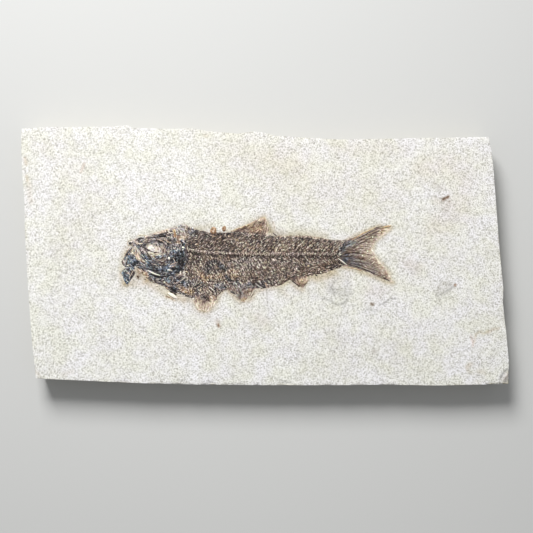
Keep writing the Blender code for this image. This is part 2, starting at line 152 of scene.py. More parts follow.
# ---- Patches of relief and colour over the bones: half width, rise, tone, blue, tan, points.
# Tone runs from dark to pale, blue towards blue-black enamel, tan towards stained ochre.

PATCHES = [
    # Head
    (1.68, 0, 0.3, -0.3, 0.1, [(-54.7, 4.5), (-52.9, 5.6)]),
    (0.96, 0, 0.16, -0.1, 0.05, [(-48.1, 5.4), (-49.7, 7.8)]),
    (1.04, 0, 0.24, -0.3, 0.06, [(-47.7, 7.9), (-43.8, 9.2), (-39.8, 10.2)]),
    (0.88, 0, 0.1, -0.3, 0.08, [(-39.8, 10.0), (-35.8, 11.1)]),
    (1.12, 0, 0.02, 0.9, 0, [(-55.2, -1.5), (-53.8, -2.3)]),
    (0.8, 0, 0.14, 0.9, 0, [(-54.2, -2.9), (-52.4, -2.4)]),
    (0.96, 0, 0.1, -0.2, 0.12, [(-56.4, -3.1), (-55.2, -4.1)]),
    (0.8, 0, -0.1, 0.4, 0, [(-53.0, -3.8), (-51.4, -3.2)]),
    (0.72, 0, 0.15, -0.3, 0.2, [(-53.5, 1.7), (-52.8, 0.4)]),
    (1.36, -0.05, 0.22, -0.4, 0.1, [(-52.1, 1.8), (-51.0, -0.2)]),
    (0.8, -0.05, 0.2, -0.5, 0.3, [(-51.2, -0.6), (-50.4, -1.6)]),
    (1.28, -0.22, 0.4, -0.25, 0, [(-45.5, 3.0), (-43.1, 2.5)]),
    (0.52, 0, 0.25, 0, 0, [(-45.7, 2.8), (-44.9, 2.8)]),
    (0.88, -0.22, 0.4, -0.4, 0.02, [(-46.9, 3.1), (-46.1, 3.5)]),
    (1.04, -0.05, 0.34, -0.3, 0.04, [(-46.4, 0.7), (-42.8, 0.1)]),
    (1.28, 0, -0.07, 0.05, 0, [(32.8, -2.0), (39.2, -3.9)]),
    (1.6, 0, -0.05, 0, 0, [(41.2, 2.2), (44.4, -1.4)]),
    (1.04, 0, -0.08, 0, 0.05, [(48.5, -5.9), (50.9, -9.1)]),
    (0.72, 0, 0.16, 0, 0, [(-46.1, 4.6), (-43.3, 4.5)]),
    (0.88, 0, 0.12, 0, 0, [(-48.7, 2.0), (-47.2, 1.0)]),
    (1.36, 0, 0.13, -0.15, 0, [(-41.5, 3.1), (-41.0, 0.1)]),
    (1.8, 0.05, -0.07, 0, 0.05, [(-42.6, -1.4), (-40.2, -2.2)]),
    (0.6, 0, 0.1, 0.7, 0, [(-43.2, -0.7), (-42.0, -0.7)]),
    (0.96, 0, 0, 1.0, 0, [(-42.9, -5.1), (-41.4, -4.7)]),
    (0.88, 0, 0.12, 1.0, 0, [(-40.0, -5.7), (-39.1, -6.1)]),
    (1.28, 0, 0.06, 0.5, 0, [(-48.8, -1.0), (-46.4, -2.7)]),
    (0.64, 0, 0.1, -0.2, 0.3, [(-49.6, -2.0), (-48.6, -3.0)]),
    (1.2, 0, 0.04, 0.25, 0, [(-51.2, -4.6), (-47.6, -5.0)]),
    (1.04, 0, -0.08, 0.3, 0, [(-44.1, 7.3), (-39.7, 7.6)]),
    (0.96, 0, 0, 0.25, 0, [(-50.9, 6.2), (-48.9, 6.6)]),
    (1.2, 0, 0.16, 0.05, 0, [(-52.1, 3.2), (-49.7, 2.0), (-48.4, 0.2)]),
    (1.44, 0, 0.2, -0.4, 0.35, [(-50.3, -6.8), (-47.9, -8.4)]),
    (1.68, 0, -0.2, 0.35, 0, [(-43.1, -8.1), (-39.6, -8.8)]),
    (1.2, 0, 0.04, 0.1, 0, [(-45.9, -9.3), (-43.5, -10.3)]),
    (2.2, 0, -0.05, 0.2, 0, [(-42.7, -5.3), (-37.9, -6.0)]),
    (2.0, 0, 0.05, 0.1, -0.1, [(-55.7, -7.5), (-54.7, -10.3)]),
    (1.2, 0, 0.05, 0.1, 0.1, [(-42.7, -11.5), (-39.4, -12.4)]),
    (0.8, 0, 0.1, 0.8, 0, [(-39.9, -9.7), (-38.7, -10.4)]),
    (1.28, 0, -0.14, 0.2, 0, [(-37.0, -13.6), (-35.0, -14.8)]),
    (1.2, 0, -0.22, 0.8, 0, [(-37.4, -1.2), (-35.8, -1.0), (-35.2, -1.8)]),
    (1.36, 0, -0.22, 0.8, 0, [(-33.8, 0.8), (-33.4, -2.0), (-33.4, -4.8)]),
    (1.04, 0, -0.18, 0.6, 0, [(-36.3, -5.9), (-34.7, -6.2)]),
    (0.88, 0, 0.12, -0.2, 0, [(-37.6, -4.3), (-35.4, -3.8)]),
    (0.96, 0, 0.08, -0.2, 0.05, [(-34.9, -7.8), (-33.9, -7.4)]),
    (1.8, 0, -0.1, 0.1, 0, [(-27.6, -1.1), (-29.9, -5.1), (-31.5, -9.9)]),
    (0.72, 0, 0.1, 0.6, 0, [(-35.9, 1.8), (-34.8, 1.6)]),
    (0.88, 0, -0.1, 0.6, 0, [(-33.3, 5.2), (-32.3, 3.7)]),
    (1.04, 0, 0.08, -0.2, 0.1, [(-40.1, 1.9), (-38.4, -0.4)]),
    # The pale patch behind the head
    (2.16, -0.1, 0.24, -0.12, 0.06, [(-34.8, 10.2), (-32.6, 10.3), (-32.7, 7.9)]),
    (0.56, 0, 0.1, -0.4, 0.9, [(-36.3, 9.8), (-36.1, 7.8)]),
    (0.8, 0, 0.06, -0.3, 0.2, [(-34.9, 7.0), (-32.9, 6.9)]),
    (0.72, 0, 0.12, -0.4, 0.35, [(-35.2, 5.2), (-34.3, 5.0)]),
    # Body
    (1.6, 0, 0.1, 0.35, 0, [(-29.4, 10.5), (-29.3, 7.7)]),
    (1.6, 0, 0.05, 0.25, 0, [(-27.4, 8.7), (-24.1, 8.0)]),
    (1.2, 0, 0.04, 0.1, 0, [(-13.5, 5.7), (-12.5, 4.8)]),
    (0.6, 0, 0, 0, 0.5, [(-11.5, 6.4)]),
    (0.88, 0, 0.02, -0.1, 0.3, [(-21.0, 9.0), (-20.6, 8.2)]),
    (1.2, 0, -0.12, 0.4, 0, [(-22.4, -3.0), (-20.0, -2.8), (-18.6, -3.5)]),
    (1.04, 0, -0.1, 0.6, 0, [(-17.6, -4.3), (-15.5, -5.5)]),
    (1.2, 0, -0.1, 0.3, 0, [(-22.0, -4.6), (-23.0, -7.0)]),
    (0.88, 0, -0.1, 0.5, 0, [(-15.5, -8.3), (-14.5, -9.5)]),
    (1.2, 0, 0.04, 0.35, 0, [(-32.3, -11.7), (-26.7, -10.5), (-24.2, -11.8)]),
    (1.28, 0, 0.06, -0.1, 0.35, [(-26.0, -7.2), (-23.9, -9.2)]),
    (1.04, 0, 0.05, 0, 0.3, [(-21.9, -8.2), (-17.9, -8.3)]),
    (1.28, 0, 0.06, 0.6, 0, [(-19.4, -12.5), (-16.4, -11.7)]),
    (0.48, 0, 0.3, 0.2, 0, [(-17.4, -13.2), (-16.2, -13.0)]),
    (1.4, 0, 0.04, 0.4, 0, [(-11.4, -11.0), (-9.0, -12.4)]),
    (1.2, 0, -0.06, 0.5, 0, [(-7.1, -11.6), (-0.3, -11.1)]),
    (1.28, 0, 0.05, -0.2, 0.4, [(-32.2, -13.9), (-29.0, -14.9)]),
    (0.8, 0, 0.02, 0.4, 0, [(-31.4, -16.1), (-28.6, -16.7)]),
    (1.2, 0, -0.04, 0.2, 0, [(-28.2, -14.3), (-26.2, -14.6)]),
    (1.28, 0, -0.06, 0, 0.15, [(14.0, -6.2), (22.0, -4.2), (28.0, -1.8)]),
    (3.2, 0, 0.05, 0.1, -0.05, [(-8.8, -2.8), (-3.2, -2.3)]),
    (1.6, 0, 0, 0, 0.3, [(-13.5, -6.5), (-11.9, -7.6)]),
    (2.0, 0, -0.04, 0.1, -0.05, [(1.3, -8.6), (3.7, -9.8)]),
    (2.4, 0, 0.02, 0, 0.1, [(5.1, 2.6), (9.9, 4.3)]),
    (0.64, 0, 0.2, -0.1, 0.08, [(12.3, 8.2), (17.1, 8.2), (22.3, 7.4)]),
    # Fins and tail
    (1.28, 0, -0.04, 0.6, 0, [(30.4, 3.0), (32.4, 4.6)]),
    (1.44, 0, -0.06, 0.55, 0, [(32.3, 5.5), (35.1, 5.6)]),
    (1.84, 0, -0.1, 0.5, 0, [(32.0, 0.0), (37.4, -2.3)]),
    (1.04, 0, 0.04, 0.05, 0, [(34.9, 6.7), (40.4, 9.3), (45.0, 11.4)]),
    (2.4, 0, 0.08, 0, 0.02, [(39.2, 5.0), (41.6, 2.6), (40.8, -0.4)]),
    (1.2, 0, 0.06, -0.1, 0.3, [(46.6, 10.2), (49.2, 12.0)]),
    (1.6, 0, 0.1, 0, 0.1, [(42.3, 8.0), (45.0, 10.4)]),
    (1.36, 0, -0.08, 0.3, 0, [(30.0, 0.8), (32.0, -1.8)]),
    (1.6, 0, 0, 0.1, 0, [(39.6, -3.4), (43.0, -4.4), (46.2, -6.1)]),
    (1.76, 0, 0.06, 0, 0.04, [(44.4, -1.2), (47.7, -4.8)]),
    (1.44, 0, 0.02, 0, 0.25, [(-6.2, 11.6), (-2.6, 10.9)]),
    (1.2, 0, 0.12, -0.1, 0, [(0.4, 9.2), (0.2, 14.8)]),
    (0.96, 0, 0.08, -0.1, 0.1, [(-3.2, 14.7), (-0.4, 15.4)]),
    (1.68, 0, 0.08, 0.25, 0, [(-12.2, -14.0), (-9.4, -16.0)]),
    (0.96, 0, 0.04, -0.2, 0.3, [(-9.0, -17.6), (-7.8, -17.4)]),
    (1.04, 0, 0, 0, 0.2, [(-7.4, -14.4), (-5.4, -13.9)]),
    (1.28, 0, -0.04, 0.1, -0.1, [(-24.6, -16.6), (-23.0, -17.6)]),
    (1.6, 0, 0.12, -0.1, 0, [(-25.7, -19.4), (-20.9, -19.4)]),
    (1.04, 0, 0.2, -0.1, 0.05, [(-27.6, -16.9), (-26.7, -18.5)]),
    (0.96, 0, 0.14, -0.1, 0.25, [(-20.8, -16.8), (-21.1, -18.8)]),
    (1.6, 0, 0.2, -0.1, 0.22, [(14.3, -9.6), (16.5, -8.8)]),
]

# Single bones, splinters and grains that show, and dark strokes of painted shadow under the backbone:
# radius, tone, blue, tan, points
BONE_LINES = [
    (0.19, 0.08, 0.4, 0, [(-53.1, 3.2), (-54.2, 1.5), (-55.2, -0.1), (-55.8, -1.3)]),
    (0.16, 0.62, 0, 0.35, [(-53.7, 3.1), (-54.9, 1.7), (-55.8, 0.1), (-56.3, -1.0)]),
    (0.16, 0.72, 0, 0.2, [(-53.6, 0.7), (-52.9, 1.6), (-52.5, 2.6)]),
    (0.18, 0.7, 0, 0.35, [(-52.6, -0.2), (-51.8, 1.0), (-51.3, 2.2)]),
    (0.16, 0.12, 0.4, 0, [(-56.6, -2.1), (-57.3, -3.1), (-56.8, -4.1)]),
    (0.16, 0.75, 0.1, 0, [(-55.4, -1.9), (-55.5, -3.1)]),
    (0.16, 0.1, 0.5, 0, [(-54.6, -2.3), (-55.3, -3.1), (-55.0, -4.3)]),
    (0.14, 0.7, 0.6, 0, [(-54.0, -3.1), (-53.4, -2.3), (-52.6, -2.0)]),
    (0.25, 0.04, 0.4, 0, [(-53.3, -4.3), (-52.4, -4.2), (-51.3, -3.4)]),
    (0.16, 0.72, 0, 0.25, [(-52.9, 5.8), (-54.7, 5.6), (-55.2, 4.5), (-54.7, 3.5), (-53.5, 3.4),
     (-53.0, 4.4)]),
    (0.46, 0, 0.2, 0, [(-54.3, 4.7), (-53.8, 4.3)]),
    (0.12, 0.8, 0, 0.3, [(-52.7, 6.0), (-51.7, 4.6), (-50.5, 3.4)]),
    (0.16, 0.82, 0, 0.2, [(-52.1, -5.8), (-53.0, -7.2), (-53.6, -8.5), (-54.3, -9.7)]),
    (0.24, 0.1, 0.1, 0, [(-51.9, -6.5), (-52.3, -7.8), (-53.2, -9.1), (-53.9, -10.3)]),
    (0.2, 0.1, 0, 0.1, [(-53.0, -5.9), (-53.5, -7.1), (-54.0, -7.9)]),
    (0.14, 0.95, 0, 0, [(-55.2, -6.7), (-54.9, -6.9)]),
    (0.28, 0.5, 0.5, 0, [(-51.6, -4.1), (-50.2, -4.3), (-48.8, -4.5)]),
    (0.2, 0.25, 0.5, 0, [(-51.4, -4.9), (-49.9, -5.4), (-48.3, -5.7), (-46.7, -5.6)]),
    (0.17, 0.08, 0.1, 0, [(-52.1, 4.5), (-50.9, 3.7), (-49.3, 3.1), (-47.7, 2.4), (-46.0, 1.5),
     (-44.4, 1.0), (-43.0, 0.9), (-42.0, 1.4)]),
    (0.16, 0.82, 0, 0.1, [(-46.8, 0.9), (-45.6, 0.4), (-44.0, 0.3), (-42.6, 0.5)]),
    (0.19, 0.1, 0.5, 0, [(-50.3, 2.6), (-49.6, 1.2), (-48.6, -0.4), (-47.4, -2.0), (-46.0, -3.0),
     (-44.8, -4.3)]),
    (0.12, 0.75, 0, 0.15, [(-50.9, 2.4), (-50.2, 0.8), (-49.2, -0.8)]),
    (0.14, 0.85, 0.6, 0, [(-47.9, -1.5), (-47.0, -2.4), (-46.0, -2.9)]),
    (0.23, 0.08, 0, 0.1, [(-47.6, 1.4), (-46.9, 0.4), (-46.2, -0.8), (-45.2, -1.6)]),
    (0.17, 0.08, 0.3, 0, [(-47.5, 4.4), (-46.5, 5.0), (-45.1, 5.2)]),
    (0.23, 0.04, 0.3, 0, [(-43.9, 5.8), (-42.9, 5.4), (-41.9, 4.9), (-40.7, 4.6)]),
    (0.12, 0.85, 0.1, 0.1, [(-44.9, 4.4), (-43.7, 4.6), (-42.7, 4.2)]),
    (0.24, 0.1, 0.5, 0, [(-48.3, 4.5), (-48.1, 3.4)]),
    (0.24, 0.85, 0, 0.5, [(-51.3, 4.7), (-50.3, 4.2), (-48.9, 4.5)]),
    (0.18, 0.15, 0.2, 0, [(-51.8, 5.7), (-50.3, 5.6)]),
    (0.12, 0.8, 0, 0.3, [(-42.1, 2.3), (-41.1, 1.7), (-41.4, 0.7), (-42.2, -0.0)]),
    (0.14, 0.15, 0, 0.1, [(-41.8, 2.8), (-40.5, 1.9), (-40.8, 0.7), (-41.8, -0.3)]),
    (0.12, 0.75, 0, 0.25, [(-41.7, 3.4), (-40.1, 2.3), (-40.0, 0.8), (-41.2, -0.5)]),
    (0.16, 0.15, 0, 0.1, [(-39.7, 3.0), (-39.2, 1.8), (-39.6, 0.4), (-40.6, -0.9)]),
    (0.12, 0.7, 0, 0.2, [(-38.7, 2.6), (-38.4, 1.2), (-39.1, -0.4)]),
    (0.14, 0.2, 0, 0.2, [(-43.2, -4.5), (-41.6, -4.1), (-39.6, -3.9), (-38.0, -3.2)]),
    (0.14, 0.25, 0, 0.1, [(-42.8, -3.1), (-40.8, -2.8), (-38.8, -2.8)]),
    (0.16, 0.65, 0, 0.1, [(-43.2, -2.3), (-41.2, -2.1), (-39.2, -2.1)]),
    (0.16, 0.7, 0.2, 0.1, [(-45.2, -3.7), (-43.6, -4.0), (-42.8, -4.7)]),
    (0.2, 0.08, 0.5, 0, [(-45.8, -4.0), (-44.5, -4.8), (-43.1, -5.4)]),
    (0.12, 0.8, 0.1, 0.2, [(-45.6, -0.9), (-44.6, -1.2), (-43.2, -1.7)]),
    (0.28, 0.2, 0.6, 0, [(-50.8, 6.4), (-49.7, 6.6), (-48.6, 6.6)]),
    (0.14, 0.85, 0, 0.4, [(-51.5, 7.3), (-49.7, 7.8), (-47.7, 7.6)]),
    (0.3, 0.03, 0.4, 0, [(-43.3, 7.2), (-42.1, 7.5), (-41.1, 7.7), (-39.9, 7.2)]),
    (0.14, 0.85, 0.1, 0.1, [(-42.5, 6.6), (-40.7, 6.8), (-39.3, 6.6)]),
    (0.12, 0.75, 0, 0.5, [(-44.1, 8.0), (-42.2, 8.6), (-40.2, 9.1)]),
    (0.14, 0.2, 0, 0.3, [(-42.1, 8.1), (-40.2, 8.5), (-38.6, 9.3)]),
    (0.16, 0.92, 0, 0.3, [(-39.5, 8.3), (-38.6, 8.8), (-37.4, 8.9), (-36.5, 8.5)]),
    (0.12, 0.9, 0, 0.4, [(-39.3, 7.5), (-38.1, 7.1), (-36.9, 7.4)]),
    (0.28, 0.03, 0.1, 0.1, [(-38.4, 8.2), (-37.7, 8.1)]),
    (0.14, 0.75, 0, 0.3, [(-43.7, 6.4), (-42.1, 6.0), (-40.5, 5.1), (-39.1, 3.8)]),
    (0.16, 0.15, 0.1, 0, [(-41.7, 6.2), (-40.1, 5.5), (-38.5, 4.0)]),
    (0.14, 0.75, 0, 0.5, [(-40.1, 6.1), (-38.7, 5.2), (-37.3, 4.5)]),
    (0.28, 0.06, 0.2, 0, [(-38.9, 5.9), (-37.6, 6.0)]),
    (0.16, 0.2, 0.2, 0, [(-47.3, 6.8), (-45.7, 6.9), (-44.1, 6.8)]),
    (0.12, 0.75, 0, 0.3, [(-47.3, 7.2), (-45.7, 7.5), (-44.1, 7.3)]),
    (0.12, 0.75, 0.1, 0.1, [(-46.5, 6.0), (-44.9, 6.3), (-43.7, 6.1)]),
    (0.28, 0.45, 0, 1.15, [(-36.6, 9.8), (-36.2, 9.0), (-36.0, 7.8)]),
    (0.36, 0.05, 0.4, 0, [(-33.8, 5.8), (-33.1, 4.6), (-32.5, 3.7)]),
    (0.22, 1.05, 0.2, 0, [(-33.1, 5.7), (-32.2, 4.9)]),
    (0.36, 1.1, 0, 0, [(-33.3, 3.2), (-32.2, 2.9)]),
    (0.4, 1.15, 0, 0, [(-38.5, -0.8), (-38.3, -1.4), (-38.2, -2.0)]),
    (0.19, 0.03, 0.4, 0, [(-37.8, -1.2), (-37.2, -2.4), (-36.4, -3.6)]),
    (0.19, 0.03, 0.4, 0, [(-36.7, -0.6), (-35.9, -1.8), (-35.3, -2.8)]),
    (0.34, 0, 0.4, 0, [(-35.6, 0.4), (-34.7, -0.5)]),
    (0.34, 0, 0.4, 0, [(-34.2, 1.7), (-33.0, 1.5)]),
    (0.34, 0, 0.4, 0, [(-33.4, 0.0), (-32.7, -0.7)]),
    (0.34, 0, 0.4, 0, [(-35.2, -1.6), (-34.4, -2.6), (-34.2, -3.6)]),
    (0.34, 0, 0.4, 0, [(-33.8, -1.6), (-32.9, -2.7), (-32.8, -4.3)]),
    (0.19, 0.6, 0.8, 0, [(-34.7, 0.4), (-33.6, 0.4)]),
    (0.16, 0.6, 0.8, 0, [(-36.2, 1.4), (-35.1, 1.2)]),
    (0.16, 0.55, 0.8, 0, [(-34.0, -3.2), (-33.6, -4.4), (-33.7, -5.4)]),
    (0.16, 0.5, 0.7, 0, [(-35.1, -3.7), (-34.7, -4.9)]),
    (0.34, 0, 0.4, 0, [(-36.9, -6.2), (-36.1, -5.3), (-34.7, -5.6)]),
    (0.34, 0, 0.4, 0, [(-35.5, -7.0), (-34.3, -6.8)]),
    (0.16, 0.7, 0.7, 0, [(-36.1, -6.2), (-35.2, -6.0)]),
    (0.14, 0.8, 0.1, 0.3, [(-38.5, -6.3), (-37.5, -6.0), (-36.9, -6.6)]),
    (0.24, 1.12, 0, 0, [(-47.1, -6.2), (-45.9, -6.8), (-44.7, -7.4), (-43.3, -7.9), (-41.7, -8.3)]),
    (0.2, 0.03, 0.4, 0, [(-46.3, -5.7), (-45.1, -6.2), (-43.5, -6.7), (-41.9, -7.2)]),
    (0.36, 0, 0.3, 0, [(-45.9, -7.6), (-44.7, -8.1), (-43.1, -8.6), (-41.5, -8.9), (-39.7, -8.4)]),
    (0.12, 0.75, 0.1, 0, [(-44.5, -8.8), (-44.8, -10.0), (-44.1, -11.2), (-42.6, -12.0)]),
    (0.14, 0.12, 0.2, 0, [(-44.1, -8.9), (-44.3, -10.0), (-43.5, -10.9), (-42.3, -11.5)]),
    (0.12, 0.7, 0.2, 0, [(-43.4, -9.1), (-43.5, -9.9), (-42.6, -10.6), (-41.5, -10.9)]),
    (0.14, 0.1, 0.3, 0, [(-42.8, -9.2), (-42.8, -9.9), (-41.9, -10.3), (-40.7, -10.5)]),
    (0.16, 0.08, 0.2, 0, [(-41.1, -11.3), (-39.4, -12.4), (-37.8, -13.2)]),
    (0.14, 0.75, 0.1, 0.2, [(-40.7, -10.7), (-39.1, -11.8), (-37.4, -12.7)]),
    (0.14, 0.7, 0.2, 0, [(-38.3, -9.0), (-37.3, -8.6), (-36.5, -9.2), (-36.9, -10.4), (-37.9, -11.2)]),
    (0.16, 0.08, 0.3, 0, [(-37.7, -9.7), (-37.1, -9.6), (-37.5, -10.6)]),
    (0.16, 0.1, 0.2, 0, [(-36.1, -8.8), (-35.7, -10.0), (-36.4, -11.4)]),
    (0.2, 0.72, 0.2, 0, [(-35.5, -11.4), (-33.9, -10.5), (-32.3, -9.4), (-31.1, -8.3)]),
    (0.23, 0.08, 0.2, 0, [(-34.7, -9.9), (-33.1, -8.9)]),
    (0.2, 0.08, 0.2, 0, [(-34.4, -11.6), (-33.5, -11.1)]),
    (0.31, 0.03, 0.3, 0, [(-38.0, -12.6), (-36.6, -13.8), (-34.8, -15.0)]),
    (0.25, 0.03, 0.3, 0, [(-38.0, -14.5), (-36.6, -15.0)]),
    (0.23, 0.03, 0.3, 0, [(-36.4, -15.3), (-35.0, -16.0)]),
    (0.24, 0.3, 0.3, 0, [(-32.0, -15.6), (-30.6, -16.4), (-29.4, -16.6), (-28.1, -16.8)]),
    (0.62, 1.2, 0, 0, [(-38.5, -15.2), (-37.3, -15.9), (-36.1, -16.6), (-35.0, -17.3)]),
    (0.32, 0.16, 0, 0.35, [(-51.2, -8.5), (-50.4, -9.2)]),
    (0.28, 0.42, 0, 0.55, [(-48.2, -7.9), (-47.0, -8.2)]),
    (0.24, 0.3, 0, 0.3, [(-50.6, -7.3), (-49.7, -7.8)]),
    (0.14, 0.3, 0.1, 0.2, [(-46.3, -9.5), (-44.9, -10.5)]),
    (0.25, 0.05, 0.2, 0, [(-24.0, 9.2), (-22.6, 7.8)]),
    (0.28, 0.04, 0.2, 0, [(-19.9, 8.1), (-18.4, 8.9)]),
    (0.28, 0.04, 0.2, 0, [(-18.0, 8.2), (-16.3, 9.2)]),
    (0.25, 0.05, 0.2, 0, [(-15.5, 8.4), (-13.6, 9.3)]),
    (0.52, 0.55, 0.6, 0, [(-29.2, 11.3), (-29.1, 9.7), (-29.6, 8.1)]),
    (0.2, 1, 0.1, 0.2, [(-10.1, 5.5), (-9.9, 5.0)]),
    (0.23, 1, 0, 0.3, [(-7.9, 5.2), (-7.5, 4.7)]),
    (0.22, 1, 0, 0.1, [(4.5, 7.4), (5.0, 7.2)]),
    (0.19, 1, 0, 0, [(-0.6, 4.1), (-0.3, 3.9)]),
    (0.23, 1.05, 0, 0.1, [(9.5, -0.2), (9.8, -0.4)]),
    (0.2, 0.95, 0, 0.4, [(-1.0, -3.8), (-0.5, -4.5), (0.2, -4.8)]),
    (0.25, 0.95, 0, 0.25, [(3.2, -0.9), (3.9, -1.8)]),
    (0.19, 0.95, 0, 0.3, [(-9.9, -3.0), (-9.7, -3.4)]),
    (0.2, 0.9, 0, 0.1, [(-5.2, -2.7), (-4.9, -2.9)]),
    (0.2, 0.95, 0, 0.45, [(5.2, 4.0), (4.5, 2.6), (4.0, 1.2)]),
    (0.34, 0.72, 0, 1.1, [(17.1, -3.5), (17.7, -3.8)]),
    (0.19, 0.95, 0, 0.4, [(-15.5, -6.1), (-15.2, -7.4)]),
    (0.31, 0.7, 0, 0.8, [(-25.3, -8.2), (-24.4, -9.0)]),
    (0.22, 0.02, 0.2, 0, [(-22.9, -2.3), (-21.4, -3.7)]),
    (0.19, 0.02, 0.2, 0, [(-21.8, -2.0), (-20.8, -3.0)]),
    (0.19, 0.02, 0.2, 0, [(-20.4, -1.8), (-19.3, -2.8)]),
    (0.23, 0.02, 0.2, 0, [(-19.6, -1.9), (-18.0, -3.7)]),
    (0.2, 0.02, 0.2, 0, [(-19.3, -3.2), (-18.4, -4.8)]),
    (0.14, 0.9, 0, 0.2, [(-22.3, -2.9), (-21.3, -4.3)]),
    (0.14, 0.85, 0, 0.2, [(-20.7, -3.0), (-19.6, -4.1)]),
    (0.31, 0.04, 0.5, 0, [(-21.2, -4.3), (-22.3, -5.6), (-23.3, -7.2)]),
    (0.22, 0.06, 0.4, 0, [(-20.2, -4.7), (-21.0, -6.1)]),
    (0.25, 0.12, 0.7, 0, [(-18.6, -4.1), (-17.1, -5.1), (-15.3, -6.0)]),
    (0.28, 0.1, 0.8, 0, [(-15.6, -7.9), (-14.6, -9.3)]),
    (0.22, 0.15, 0.8, 0, [(-28.8, -13.0), (-27.2, -12.1), (-25.7, -11.2), (-24.3, -10.5)]),
    (0.22, 0.15, 0.8, 0, [(-27.0, -13.4), (-25.4, -12.4), (-24.0, -11.3)]),
    (0.14, 0.7, 0.2, 0.1, [(-27.8, -13.5), (-26.2, -12.6), (-24.6, -11.7)]),
    (0.19, 0.02, 0.2, 0, [(-22.6, -12.8), (-21.3, -13.9), (-20.0, -14.9)]),
    (0.16, 1, 0.1, 0, [(-22.5, -12.3), (-21.0, -13.4), (-19.8, -14.2)]),
    (0.17, 0.04, 0.2, 0, [(-21.5, -12.3), (-20.3, -13.3), (-19.3, -14.1)]),
    (0.14, 0.85, 0, 0.3, [(-23.1, -13.2), (-21.8, -14.3), (-20.6, -15.2)]),
    (0.14, 0.8, 0.3, 0, [(-12.1, -10.0), (-11.5, -11.2), (-10.2, -12.5), (-8.8, -13.0)]),
    (0.23, 0.08, 0.6, 0, [(-11.2, -9.9), (-10.7, -10.8), (-9.6, -12.1)]),
    (0.14, 0.85, 0.1, 0.2, [(-10.4, -9.5), (-9.7, -10.4), (-8.6, -11.6)]),
    (0.2, 0.08, 0.3, 0, [(-10.0, -12.3), (-8.8, -12.5)]),
    (0.23, 0.1, 0.8, 0, [(-7.6, -11.7), (-6.1, -11.4), (-4.7, -11.5)]),
    (0.14, 0.8, 0.4, 0, [(-7.4, -12.4), (-5.8, -12.1), (-4.2, -12.2)]),
    (0.22, 0.02, 0.4, 0, [(-3.5, -9.8), (-2.4, -11.3), (-1.0, -12.0), (-0.1, -12.9)]),
    (0.16, 1, 0.3, 0, [(-3.3, -11.1), (-2.1, -12.1), (-0.6, -12.7)]),
    (0.19, 0.03, 0.3, 0, [(-1.6, -9.5), (-0.7, -11.2)]),
    (0.14, 0.9, 0.3, 0, [(-2.4, -9.4), (-1.5, -10.9)]),
    (0.28, 0.4, 0, 0.9, [(0.1, -10.4), (1.1, -12.1)]),
    (0.17, 0.3, 0, 0.45, [(9.9, 2.3), (12.3, 4.7), (14.3, 6.8)]),
    (0.17, 0.3, 0, 0.45, [(12.7, 2.5), (15.1, 4.9), (17.1, 7.0)]),
    (0.17, 0.3, 0, 0.45, [(15.6, 2.0), (17.5, 4.2), (18.8, 6.4)]),
    (0.28, 0.25, 0, 0.1, [(10.0, -8.8), (11.3, -9.7), (12.8, -10.7), (14.0, -11.7)]),
    (0.4, 0.78, 0, 0.8, [(14.2, -9.2), (15.5, -9.5)]),
    (0.2, 0.2, 0, 0.2, [(-25.2, -15.3), (-25.9, -16.1), (-26.2, -17.3), (-26.3, -18.5)]),
    (0.16, 0.45, 0, 0.3, [(-27.2, -17.1), (-27.4, -18.1), (-26.9, -19.1)]),
    (0.52, 0.2, 0.05, 0, [(-24.6, -16.2), (-23.2, -16.6), (-22.6, -17.6)]),
    (0.3, 0.95, 0, 0.1, [(-21.5, -16.4), (-20.6, -17.2)]),
    (0.22, 0.66, 0, 0.75, [(-13.8, 9.8), (-11.0, 10.9), (-8.2, 11.9), (-5.8, 13.0), (-3.6, 14.1)]),
    (0.19, 1.1, 0, 0, [(29.1, -0.3), (30.4, -1.2), (31.9, -2.3), (32.8, -2.9)]),
    (0.25, 0.02, 0.2, 0, [(28.6, -1.1), (30.2, -2.1), (31.6, -3.0)]),
    (0.2, 0.02, 0.2, 0, [(27.0, 0.3), (28.4, 1.3)]),
    (0.2, 0.02, 0.2, 0, [(28.5, 1.3), (29.7, 2.2)]),
    (0.2, 0.02, 0.2, 0, [(29.8, 2.5), (30.8, 3.2)]),
    (0.19, 0.04, 0.2, 0, [(30.9, 3.5), (32.1, 4.3)]),
    (0.16, 0.85, 0.1, 0, [(27.6, -0.3), (29.0, 0.7)]),
    (0.16, 0.85, 0.1, 0, [(29.3, 0.4), (30.5, 1.4)]),
    (0.19, 0.03, 0.2, 0, [(27.8, 0.1), (29.2, -0.5)]),
    (0.17, 0.03, 0.2, 0, [(29.2, 1.1), (30.5, 0.3)]),
    (0.22, 0.06, 0.3, 0, [(30.8, 5.2), (31.5, 4.4)]),
    (0.2, 0.26, 0.3, 0, [(33.5, 5.8), (36.3, 7.4), (38.7, 8.6), (41.0, 9.8), (43.4, 11.1), (45.4, 12.1)]),
    (0.17, 0.26, 0.2, 0, [(34.6, 4.8), (36.7, 6.3), (39.1, 7.6), (41.5, 8.8), (43.8, 10.1), (46.2, 11.2)]),
    (0.18, 0.3, 0.1, 0.1, [(35.1, 4.0), (37.3, 5.3), (39.9, 6.9), (42.3, 8.1), (44.5, 9.4)]),
    (0.14, 0.85, 0, 0.1, [(34.5, 4.3), (36.1, 5.7)]),
    (0.12, 0.8, 0, 0.1, [(37.1, 6.4), (39.5, 7.7), (42.2, 9.1)]),
    (0.12, 0.7, 0, 0.1, [(39.7, 8.7), (41.8, 9.8), (44.2, 11.0)]),
    (0.31, 0.08, 0, 0.2, [(46.2, 10.3), (46.6, 10.1)]),
    (0.22, 0.95, 0, 0.2, [(45.7, 11.0), (46.1, 10.8)]),
    (0.28, 1, 0, 0.15, [(42.6, 8.2), (43.2, 8.4)]),
